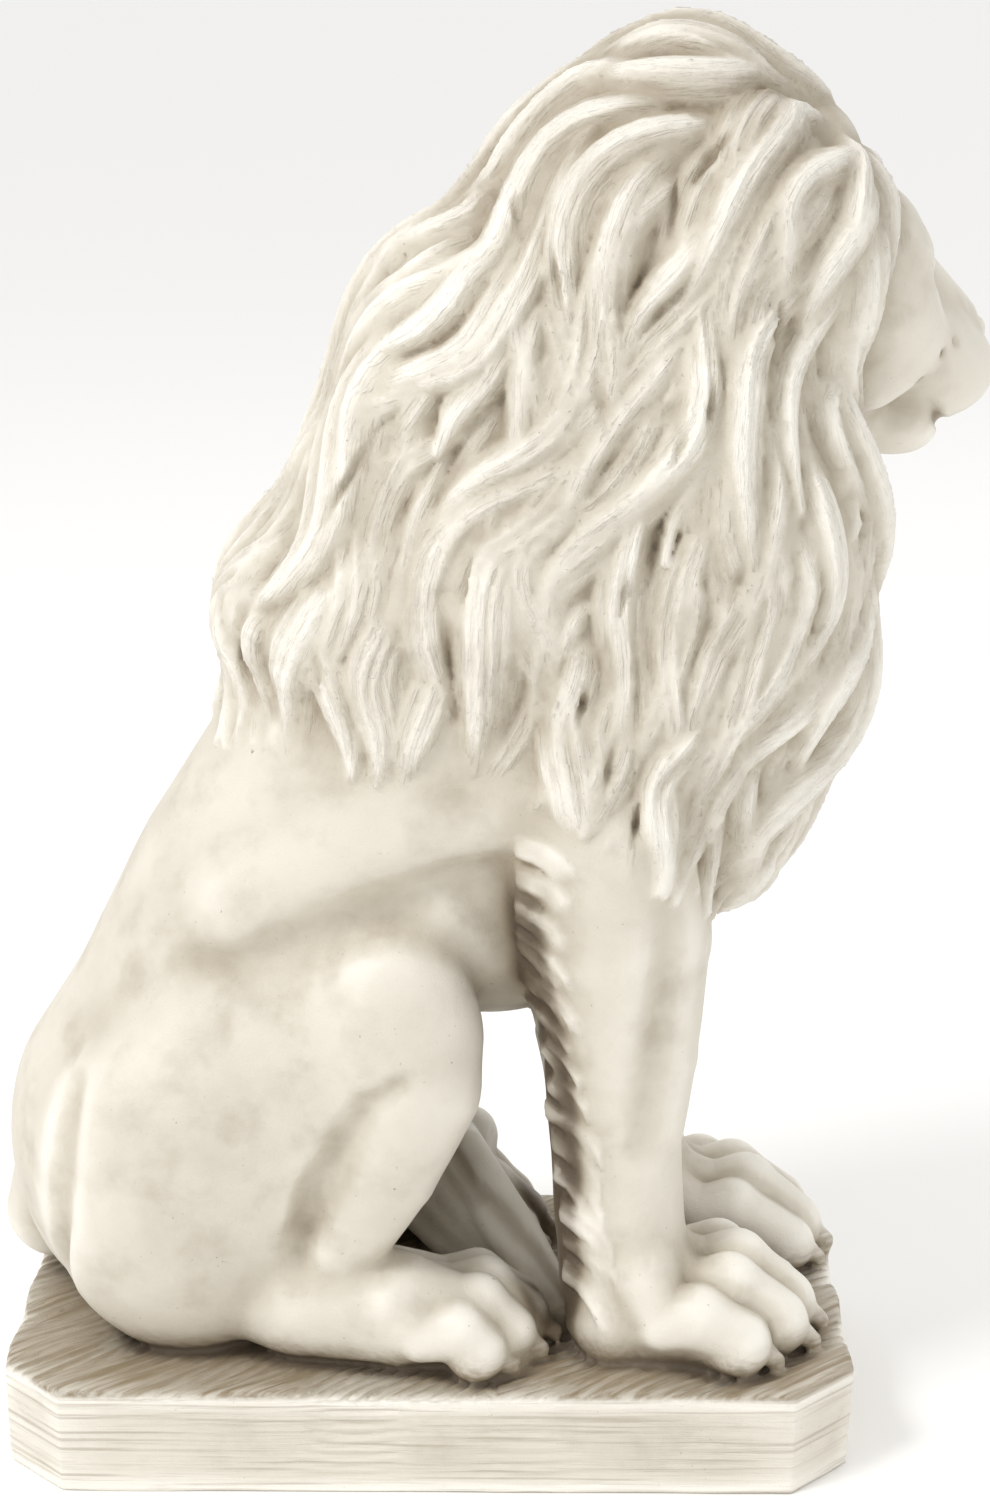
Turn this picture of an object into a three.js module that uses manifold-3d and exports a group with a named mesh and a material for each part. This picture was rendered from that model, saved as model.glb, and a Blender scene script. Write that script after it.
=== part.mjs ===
// A seated lion cast in one with its low plinth, its head turned to its left.
// Millimetres, +Z up, +X the way the body faces, +Y to the lion's left.
// The origin is the middle of the plinth's underside.
// The figure is worked like clay on a fine grid of distances: rounded masses are
// pressed together, locks of hair are combed over the mane, the surface is taken
// off as a closed mesh and then thinned to the facets that its shape needs.

import * as THREE from 'three';
import Module from 'manifold-3d';

// Driving sizes of the casting.
const FIGURE_HEIGHT = 636;
const PLINTH_LENGTH = 412;
const PLINTH_WIDTH = 228;
const PLINTH_HEIGHT = 53;
const CORNER_CUT = 30.4;
const PLINTH_DRAFT = 1.6;
const GROOVE_PITCH = 8.5;
const GROOVE_DEPTH = 1.1;

// The figure's own shape is given in hundredths of its height, measured from the
// middle of the plinth's top face: x forward, y to the lion's left, z up.
const SHARE = FIGURE_HEIGHT / 100;
const CELL = 0.72;
const FIGURE_FACETS = 9100;

// How the head is held, and where it sits.
const HEAD_PLACE = [27, 4.5, 83.5];
const HEAD_TURN = THREE.MathUtils.degToRad(33);
const HEAD_DIP = THREE.MathUtils.degToRad(12);

// The combed locks of the mane: spacing across, run and thickness.
const LOCK_SPACING = 3.9;
const LOCK_ROW = 8.2;
const LOCK_RUN = 17;
const LOCK_RADIUS = 1.75;

// The line through neck and skull that the rows of locks stand round, and how
// far and how densely, in radians, the rows go on over the crown.
const NECK_FOOT = [12, 0, 40];
const NECK_TOP = [18, 0, 84];
const CROWN_RISE = 1.5;
const CROWN_STEP = 0.5;

// The lower hem of the mane, as [x, z]: high on the flank, low on the breast.
const HEM = [
  [-16, 46.5], [-12, 47.5], [-6, 47.5], [0, 45.5], [6, 45], [11, 43.5], [16, 39], [20, 35.5],
  [26, 29.5],
];

// The spacing of the tufts in the fringe down the back of each foreleg.
const FRINGE_STEP = 2.6;

// Sides of the body: the lion's right and its left.
const SIDES = [-1, 1];

// A repeatable number between 0 and 1 for the hair's small irregularities.
const scatter = (seed) => {
  const wave = Math.sin(seed * 127.1 + 311.7) * 43758.5453;
  return wave - Math.floor(wave);
};

const mix = (a, b, t) => a + (b - a) * t;
const clamp = (v, low, high) => Math.min(Math.max(v, low), high);
const smoothstep = (low, high, v) => {
  const t = clamp((v - low) / (high - low), 0, 1);
  return t * t * (3 - 2 * t);
};

// Two distances joined with a rounded fillet of the given reach.
const blendMin = (a, b, reach) => {
  const h = Math.max(reach - Math.abs(a - b), 0) / reach;
  return Math.min(a, b) - h * h * reach * 0.25;
};

// A frame of three unit directions: forward, to the left, and up.
const WORLD = [[1, 0, 0], [0, 1, 0], [0, 0, 1]];
function turnedFrame(turn, dip) {
  const forward = [
    Math.cos(turn) * Math.cos(dip),
    Math.sin(turn) * Math.cos(dip),
    -Math.sin(dip),
  ];
  const left = [-Math.sin(turn), Math.cos(turn), 0];
  const up = new THREE.Vector3(...forward).cross(new THREE.Vector3(...left));
  return [forward, left, up.toArray()];
}

// An egg with its own radii along a frame.
function ball(centre, radii, frame = WORLD) {
  const reach = Math.max(...radii);
  const [f, l, u] = frame;
  const [rf, rl, ru] = radii;
  const distance = (x, y, z) => {
    const dx = x - centre[0];
    const dy = y - centre[1];
    const dz = z - centre[2];
    const a = (dx * f[0] + dy * f[1] + dz * f[2]) / rf;
    const b = (dx * l[0] + dy * l[1] + dz * l[2]) / rl;
    const c = (dx * u[0] + dy * u[1] + dz * u[2]) / ru;
    const k = Math.sqrt(a * a + b * b + c * c);
    const g = Math.sqrt((a / rf) ** 2 + (b / rl) ** 2 + (c / ru) ** 2);
    return g > 0 ? (k * (k - 1)) / g : -reach;
  };
  const low = centre.map((v) => v - reach);
  const high = centre.map((v) => v + reach);
  return { distance, low, high };
}

// A tapering round limb through a chain of stations [x, y, z, radius].
function limb(...stations) {
  const parts = [];
  for (let i = 0; i + 1 < stations.length; i += 1) {
    const [a, b] = [stations[i], stations[i + 1]];
    const run = [b[0] - a[0], b[1] - a[1], b[2] - a[2]];
    parts.push({ a, b, run, square: run[0] ** 2 + run[1] ** 2 + run[2] ** 2 });
  }
  const distance = (x, y, z) => {
    let best = Infinity;
    for (const { a, b, run, square } of parts) {
      const dx = x - a[0];
      const dy = y - a[1];
      const dz = z - a[2];
      const t = clamp((dx * run[0] + dy * run[1] + dz * run[2]) / square, 0, 1);
      const ex = dx - t * run[0];
      const ey = dy - t * run[1];
      const ez = dz - t * run[2];
      const d = Math.sqrt(ex * ex + ey * ey + ez * ez) - mix(a[3], b[3], t);
      if (d < best) best = d;
    }
    return best;
  };
  const low = [0, 1, 2].map((k) => Math.min(...stations.map((s) => s[k] - s[3])));
  const high = [0, 1, 2].map((k) => Math.max(...stations.map((s) => s[k] + s[3])));
  return { distance, low, high };
}

// The work on the clay, in order: every form with the reach of its fillet.
const work = [];
const addForm = (form, reach) => work.push({ form, reach, cuts: false });
const cutForm = (form, reach) => work.push({ form, reach, cuts: true });

// The block of clay: a grid of distances to the surface, negative inside, just
// large enough for every form that is pressed into it.
function pressClay(cell) {
  const added = work.filter(({ cuts }) => !cuts);
  const room = 4 * cell;
  const low = [0, 1, 2].map((k) => Math.min(...added.map(({ form }) => form.low[k])) - room);
  const high = [0, 1, 2].map((k) => Math.max(...added.map(({ form }) => form.high[k])) + room);
  const size = low.map((v, k) => Math.ceil((high[k] - v) / cell) + 1);
  const [nx, ny] = size;
  const far = 9;
  const field = new Float32Array(size[0] * size[1] * size[2]).fill(far);
  for (const { form, reach, cuts } of work) {
    const margin = reach + 2.5 * cell;
    const from = low.map((v, k) => Math.max(0, Math.floor((form.low[k] - margin - v) / cell)));
    const to = low.map((v, k) => {
      return Math.min(size[k] - 1, Math.ceil((form.high[k] + margin - v) / cell));
    });
    for (let k = from[2]; k <= to[2]; k += 1) {
      const z = low[2] + k * cell;
      for (let j = from[1]; j <= to[1]; j += 1) {
        const y = low[1] + j * cell;
        let at = (k * ny + j) * nx + from[0];
        for (let i = from[0]; i <= to[0]; i += 1, at += 1) {
          const distance = form.distance(low[0] + i * cell, y, z);
          const old = field[at];
          field[at] = cuts ? -blendMin(-old, distance, reach) : blendMin(old, distance, reach);
        }
      }
    }
  }
  return { low, cell, size, field };
}

// Rump, back, ribs and shoulders.
const trunkForms = [
  ball([-21.7, 0, 12.5], [11, 11, 13.5]),
  limb([-19.8, 0, 16.5, 11.8], [-10.8, 0, 33, 12.5], [-1, 0, 49, 12.0]),
  ball([4.5, 0, 41.2], [14.5, 12, 17]),
  ball([12.5, -6, 45], [8.5, 6.8, 13]),
  ball([12.5, 6, 45], [8.5, 6.8, 13]),
];

function addTrunk() {
  for (const form of trunkForms) addForm(form, 4);
}

// A haunch folded beside the belly: thigh, knee, shin and long hind foot.
function addHaunch(side) {
  const y = (v) => v * side;
  const thighRun = new THREE.Vector3(17.8, y(2.2), 8.6).normalize();
  const across = new THREE.Vector3(0, 1, 0);
  const lift = thighRun.clone().cross(across).normalize();
  const thighFrame = [thighRun.toArray(), across.toArray(), lift.toArray()];
  addForm(ball([-18.6, y(8.4), 11.8], [10.6, 7.4, 12.6]), 3);
  addForm(ball([-13.5, y(9), 19.2], [16, 6.8, 10.8], thighFrame), 3);
  addForm(ball([-3, y(10.8), 25.8], [7.2, 5.6, 8.8]), 2.5);
  addForm(limb([-0.6, y(11.4), 22, 4.7], [-3, y(11.8), 15.6, 3.9], [-6.4, y(11.6), 9.4, 3.1]), 1.2);
  addForm(limb([-8.8, y(10.6), 4.6, 4.4], [0.4, y(12.4), 4, 4]), 1.4);
}

// A paw: knuckled toes fanned between an outer and an inner side, each ending in
// a blunt claw. A toe is [across, knuckle x, knuckle z, tip x, thickness].
function addPaw(side, root, toes) {
  for (const [across, knuckleX, knuckleZ, tipX, thick] of toes) {
    const y = across * side;
    const rootY = mix(root[1], across, 0.55) * side;
    addForm(limb(
      [root[0], rootY, root[2], thick * 1.15],
      [knuckleX, y, knuckleZ, thick],
      [tipX - thick, y, thick * 0.98, thick * 1.02],
    ), 0.7);
    addForm(limb(
      [tipX - 0.4, y, 1.9, thick * 0.42],
      [tipX + 0.9, y, 0.5, thick * 0.22],
    ), 0.25);
  }
}

function addHindPaws() {
  const toes = [
    [15, -0.4, 3.6, 5.2, 2.4],
    [12.2, 1.4, 4.6, 7.9, 2.4],
    [9.2, 2.4, 4.7, 9, 2.3],
    [6.5, 2.2, 4.2, 8.4, 2.1],
  ];
  for (const side of SIDES) addPaw(side, [-3, 11.8, 4.6], toes);
}

// A foreleg: upper arm, straight forearm, wrist and heel, with a fringe behind.
function addForeleg(side) {
  const y = (v) => v * side;
  const ahead = side > 0 ? 0.7 : 0;
  const x = (v) => v + ahead;
  addForm(limb(
    [x(12.8), y(7.7), 41, 7.5],
    [x(14.2), y(8.3), 33, 7],
    [x(14.9), y(8.4), 24, 5.5],
    [x(14.8), y(8.3), 16.5, 4.4],
    [x(15.1), y(8.3), 10.5, 4.4],
    [x(15.6), y(8.4), 3.6, 4.8],
  ), 1.6);
  for (let z = 6; z < 42; z += FRINGE_STEP) {
    const back = x(mix(9.6, 6.8, smoothstep(5, 38, z)));
    const out = mix(10.8, 13, smoothstep(22, 36, z));
    addForm(limb(
      [back + 4.2, y(out + 0.6), z + 2, 0.9],
      [back + 2, y(out), z + 1, 1.5],
      [back + 0.3, y(out - 1.8), z - 1.3, 0.8],
    ), 0.4);
  }
}

function addForepaws() {
  const toes = [
    [13.7, 20.4, 4.3, 26, 2.5],
    [10.4, 22.9, 5.2, 29, 2.55],
    [6.9, 23.8, 5.6, 29.9, 2.5],
    [3.6, 22.5, 5.2, 29, 2.2],
  ];
  addPaw(-1, [16.5, 8.6, 5.6], toes);
  addPaw(1, [17.8, 8.6, 5.6], toes.map(([a, kx, kz, tx, t]) => [a + 0.5, kx + 1.6, kz, tx + 1.8, t]));
}

// The tail leaves the rump, lies round the left haunch, crosses the left hind
// paw and ends in a tuft that hangs down between the feet.
function addTail() {
  addForm(limb(
    [-27.2, 1, 15.5, 5], [-30.4, 3, 5.6, 4], [-26.2, 9.6, 3, 2.9],
    [-15, 14.4, 2.2, 2.3], [-4, 15, 3.4, 2.2], [2.6, 11.5, 8.2, 2.3],
  ), 1.2);
  addForm(limb(
    [2.6, 11.5, 8.2, 2.3], [4, 5, 8.6, 3], [6, -0.5, 7, 3.6],
    [8.6, -4.6, 4, 3.2], [11, -7, 1.4, 1.7],
  ), 0.8);
}

const headFrame = turnedFrame(HEAD_TURN, HEAD_DIP);
const inHead = (a, b, c) => HEAD_PLACE.map((v, k) => {
  return v + a * headFrame[0][k] + b * headFrame[1][k] + c * headFrame[2][k];
});
const headBall = (place, radii) => ball(inHead(...place), radii, headFrame);
const headLimb = (...stations) => {
  return limb(...stations.map(([a, b, c, r]) => [...inHead(a, b, c), r]));
};

// The face: brows, long bridge of the nose, muzzle, cheeks, jaw and eyes.
function addFace() {
  addForm(headBall([-0.6, 0, -0.6], [9, 8.6, 10]), 2);
  addForm(headLimb([7, 0, 1.4, 3.6], [11, 0, -1.4, 3.2], [16.2, 0, -4.6, 2.7]), 1.6);
  addForm(headBall([13.4, 0, -8], [5.4, 4.6, 4.4]), 1.8);
  addForm(headLimb([5, 0, -11, 4.2], [11.6, 0, -12.4, 2.7]), 1.4);
  for (const side of SIDES) {
    addForm(headBall([4.2, side * 4, 1.6], [4, 3.4, 4.4]), 1.4);
    addForm(headBall([5.8, side * 5.8, -6], [5, 3.4, 6]), 1.8);
    addForm(headBall([15, side * 2.4, -8.2], [3.9, 3, 3.5]), 0.8);
    cutForm(headBall([9.6, side * 4.8, -2.2], [1.9, 1.6, 1.4]), 0.8);
    addForm(headBall([8.2, side * 4.3, -2.3], [1.6, 1.5, 1.3]), 0.3);
    cutForm(headLimb([16.4, side * 1.4, -11.4, 0.6], [8.8, side * 5.2, -9.8, 0.5]), 0.4);
  }
  addForm(headBall([18.1, 0, -4.8], [1.7, 2.3, 1.6]), 0.6);
  cutForm(headLimb([19.4, 0, -6.2, 0.4], [18.9, 0, -10.6, 0.5]), 0.4);
}

// Where the face is bare of hair: in front of the ruff and near the face's axis.
function onFace(point) {
  const d = point.map((v, k) => v - HEAD_PLACE[k]);
  const along = (k) => d[0] * headFrame[k][0] + d[1] * headFrame[k][1] + d[2] * headFrame[k][2];
  const ahead = along(0);
  return ahead > 3.4 && Math.abs(along(1)) < 8.6 && along(2) < 5.6 && along(2) > -15;
}

// The mane as smooth masses under the locks: ruff, crown, nape, sides, chest.
const maneForms = [
  headBall([-3.2, 0, -1.6], [6.2, 10.6, 12.6]),
  headBall([-1, 0, 6.8], [4.4, 7, 4.2]),
  ball([18.4, 0.5, 84.8], [14.6, 11.2, 11.4]),
  ball([18.1, 0.5, 90.6], [8, 8.4, 8.5]),
  ball([5.9, 0, 74], [12, 11.8, 12.2]),
  ball([17, 0, 71], [12, 12.2, 12]),
  ball([9.8, 0, 60], [21.2, 13, 20]),
  ball([-3.4, 0, 56.5], [12.3, 11.4, 8.6]),
  ball([22.3, 0, 62], [11.2, 11.8, 12.5]),
  ball([17.2, 0, 48], [12.6, 11.8, 15.2]),
  ball([15, 0, 50.5], [11, 13, 9]),
  ball([22, 0, 52], [10.4, 10, 9]),
  ball([19, 0, 41], [8.8, 8.5, 9]),
];

function maneDistance(x, y, z) {
  let d = 9;
  for (const form of maneForms) d = blendMin(d, form.distance(x, y, z), 3);
  return d;
}

// The coat that the locks lie on: the mane's masses and the trunk under them.
function coatDistance(x, y, z) {
  let d = maneDistance(x, y, z);
  for (const form of trunkForms) d = blendMin(d, form.distance(x, y, z), 2);
  return d;
}

function coatNormal([x, y, z]) {
  const e = 0.3;
  return new THREE.Vector3(
    coatDistance(x + e, y, z) - coatDistance(x - e, y, z),
    coatDistance(x, y + e, z) - coatDistance(x, y - e, z),
    coatDistance(x, y, z + e) - coatDistance(x, y, z - e),
  ).normalize();
}

// How the hair is combed on the side of the mane. A stroke is [x, z, lean], and
// the lean is in degrees from straight down, positive toward the lion's back.
const COMB_STROKES = [
  [17, 96, 65], [26, 92, 50], [15, 90, 45], [5, 91, 35], [0, 85, 50], [-5, 80, 20],
  [-8, 73, 0], [5, 84, 18], [-2, 75, 55], [10, 78, -5], [13, 83, 38], [22, 86, 4],
  [26, 82, 40], [22, 77, 15], [21, 73, -10], [31, 78, 0], [16, 72, 58], [12, 65, 45],
  [11, 55, -5], [0, 70, 40], [-3, 61, 0], [1, 58, -14], [4, 50, 15], [-12, 61, 32],
  [-15, 52, -10], [-10, 50, -20], [-6, 58, 25], [19, 64, 0], [19, 55, 18], [18, 44, 15],
  [28, 64, 5], [26, 54, 40], [34, 60, 0], [33, 54, 10], [28, 47, 35],
];

function combLean(x, y, z) {
  let total = 0;
  let weight = 1e-9;
  for (const [sx, sz, lean] of COMB_STROKES) {
    const w = Math.exp(-((x - sx) ** 2 + (z - sz) ** 2) / 22);
    total += w * lean;
    weight += w;
  }
  return (total / weight) * smoothstep(0.5, 5, Math.abs(y));
}

// The way a lock runs at a point of the coat: down it, leaning as it is combed,
// and straight back over the crown where down has no meaning.
function combDirection(point, normal) {
  const flat = smoothstep(0.55, 0.9, normal.z);
  const pull = new THREE.Vector3(-flat, 0, flat - 1);
  const down = pull.addScaledVector(normal, -pull.dot(normal)).normalize();
  const back = down.clone().cross(normal);
  if (point[1] > 0) back.negate();
  const lean = THREE.MathUtils.degToRad(combLean(...point)) * (1 - flat);
  return down.multiplyScalar(Math.cos(lean)).addScaledVector(back, Math.sin(lean));
}

function hemHeight(x) {
  const next = HEM.findIndex(([hemX]) => hemX > x);
  if (next === 0) return HEM[0][1];
  if (next < 0) return HEM.at(-1)[1];
  const [[fromX, fromZ], [toX, toZ]] = [HEM[next - 1], HEM[next]];
  return mix(fromZ, toZ, (x - fromX) / (toX - fromX));
}

// One lock: a strand traced over the coat, thick in its middle, pointed at its
// tip, its root sunk in the coat and its tip lifted off it.
function combLock(start, seed) {
  const run = LOCK_RUN * mix(0.75, 1.25, scatter(seed));
  const radius = LOCK_RADIUS * mix(0.8, 1.25, scatter(seed + 0.37));
  const sway = mix(-0.34, 0.34, scatter(seed + 0.71));
  const phase = scatter(seed + 0.93) * Math.PI;
  const steps = 9;
  const stride = run / steps;
  const stations = [];
  let place = [...start];
  for (let i = 0; i <= steps; i += 1) {
    const t = i / steps;
    const normal = coatNormal(place);
    const off = coatDistance(...place);
    place = place.map((v, k) => v - off * normal.getComponent(k));
    if (place[2] < hemHeight(place[0]) || onFace(place)) break;
    const swell = Math.sin(Math.PI * clamp(0.18 + 0.82 * t, 0, 1) ** 0.8);
    const thick = Math.max(radius * mix(0.2, 1, swell), 0.35);
    const height = Math.min(radius * mix(-0.5, 0.35, t), thick * 0.55);
    stations.push([...place.map((v, k) => v + height * normal.getComponent(k)), thick]);
    const way = combDirection(place, normal);
    const aside = normal.clone().cross(way);
    way.addScaledVector(aside, sway * Math.cos(2 * Math.PI * t + phase)).normalize();
    place = place.map((v, k) => v + stride * way.getComponent(k));
  }
  return stations;
}

// Roots of the locks: rows round a line through neck and skull, then up over the
// crown, every other row moved on by half a space.
function lockRoots() {
  const foot = new THREE.Vector3(...NECK_FOOT);
  const top = new THREE.Vector3(...NECK_TOP);
  const axis = top.clone().sub(foot);
  const up = axis.clone().normalize();
  const ahead = new THREE.Vector3(up.z, 0, -up.x);
  const aside = new THREE.Vector3(0, 1, 0);
  const rows = [];
  for (let s = 0; s < axis.length(); s += LOCK_ROW) {
    rows.push([s, 0]);
  }
  for (let rise = 0; rise < CROWN_RISE; rise += CROWN_STEP) {
    rows.push([axis.length(), rise]);
  }
  const roots = [];
  rows.forEach(([along, rise], row) => {
    const origin = foot.clone().addScaledVector(up, along);
    let angle = row % 2 ? 0.13 : 0;
    const end = angle + 2 * Math.PI - 0.12;
    while (angle < end) {
      const flat = ahead.clone().multiplyScalar(Math.cos(angle));
      flat.addScaledVector(aside, Math.sin(angle)).multiplyScalar(Math.cos(rise));
      const ray = flat.addScaledVector(up, Math.sin(rise));
      let reach = 4;
      while (reach < 40 && coatDistance(...origin.clone().addScaledVector(ray, reach).toArray()) < 0) {
        reach += 0.5;
      }
      const jitter = (scatter(row * 17.3 + angle * 9.1) - 0.5) * LOCK_ROW * 0.5;
      const root = origin.clone().addScaledVector(ray, reach).addScaledVector(up, jitter);
      roots.push(root.toArray());
      angle += LOCK_SPACING / Math.max(reach * Math.cos(rise), 3);
    }
  });
  return roots;
}

function addMane() {
  for (const form of maneForms) addForm(form, 2);
  lockRoots().forEach((root, index) => {
    if (onFace(root)) return;
    const stations = combLock(root, index + 1);
    if (stations.length > 3) addForm(limb(...stations), 0.55);
  });
}

addTrunk();
for (const side of SIDES) {
  addHaunch(side);
  addForeleg(side);
}
addHindPaws();
addForepaws();
addTail();
addMane();
addFace();

// Take the surface off the grid. Each grid cube is parted into six tetrahedra
// round its long diagonal, so that neighbours always agree and the mesh closes.
function skin(clay) {
  const { low, cell, size, field } = clay;
  const [nx, ny, nz] = size;
  const corner = (i) => (i & 1) + ((i >> 1) & 1) * nx + ((i >> 2) & 1) * nx * ny;
  const offsets = Array.from({ length: 8 }, (_, i) => corner(i));
  const walks = [[1, 2], [1, 4], [2, 1], [2, 4], [4, 1], [4, 2]];
  const tetrahedra = walks.map(([first, second]) => [0, first, first + second, 7]);
  const odd = [false, true, true, false, false, true];
  const points = [];
  const triangles = [];
  const known = new Map();

  // The point where the surface crosses the edge between two grid points.
  const crossing = (a, b) => {
    const [p, q] = a < b ? [a, b] : [b, a];
    const key = p * 8 + offsets.indexOf(q - p);
    let index = known.get(key);
    if (index === undefined) {
      const t = clamp(field[p] / (field[p] - field[q]), 0.04, 0.96);
      const place = (n, k) => {
        if (k === 0) return n % nx;
        return k === 1 ? Math.floor(n / nx) % ny : Math.floor(n / (nx * ny));
      };
      index = points.length / 3;
      for (let k = 0; k < 3; k += 1) {
        points.push(low[k] + cell * mix(place(p, k), place(q, k), t));
      }
      known.set(key, index);
    }
    return index;
  };

  const facet = (a, b, c, turned) => {
    if (turned) triangles.push(a, c, b);
    else triangles.push(a, b, c);
  };

  for (let k = 0; k + 1 < nz; k += 1) {
    for (let j = 0; j + 1 < ny; j += 1) {
      for (let i = 0; i + 1 < nx; i += 1) {
        const at = (k * ny + j) * nx + i;
        const firstInside = field[at] < 0;
        if (offsets.every((o) => field[at + o] < 0 === firstInside)) continue;
        tetrahedra.forEach((corners, index) => {
          const ids = corners.map((c) => at + offsets[c]);
          const inside = ids.filter((n) => field[n] < 0);
          const outside = ids.filter((n) => field[n] >= 0);
          if (inside.length === 0 || outside.length === 0) return;
          // The order of the four corners says which way round the facets go.
          const order = [...inside, ...outside].map((n) => ids.indexOf(n));
          let swaps = 0;
          for (let a = 0; a < 4; a += 1) {
            for (let b = a + 1; b < 4; b += 1) {
              if (order[a] > order[b]) {
                swaps += 1;
              }
            }
          }
          const turned = (swaps % 2 === 1) !== odd[index];
          if (inside.length === 2) {
            const [p, q] = inside;
            const [r, s] = outside;
            const ring = [crossing(p, r), crossing(p, s), crossing(q, s), crossing(q, r)];
            facet(ring[0], ring[1], ring[2], turned);
            facet(ring[0], ring[2], ring[3], turned);
          } else if (inside.length === 1) {
            facet(...outside.map((n) => crossing(inside[0], n)), turned);
          } else {
            facet(...inside.map((n) => crossing(n, outside[0])), turned);
          }
        });
      }
    }
  }
  return { points: new Float64Array(points), triangles: new Int32Array(triangles) };
}

// A heap of edges, cheapest on top. Each entry is [cost, from, to, age].
class EdgeHeap {
  constructor() {
    this.items = [];
  }

  push(item) {
    const { items } = this;
    let at = items.length;
    items.push(item);
    while (at > 0) {
      const above = (at - 1) >> 1;
      if (items[above][0] <= item[0]) break;
      items[at] = items[above];
      at = above;
    }
    items[at] = item;
  }

  pop() {
    const { items } = this;
    const top = items[0];
    const last = items.pop();
    if (items.length === 0) return top;
    let at = 0;
    for (;;) {
      let below = 2 * at + 1;
      if (below >= items.length) break;
      if (below + 1 < items.length && items[below + 1][0] < items[below][0]) below += 1;
      if (items[below][0] >= last[0]) break;
      items[at] = items[below];
      at = below;
    }
    items[at] = last;
    return top;
  }
}

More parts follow.
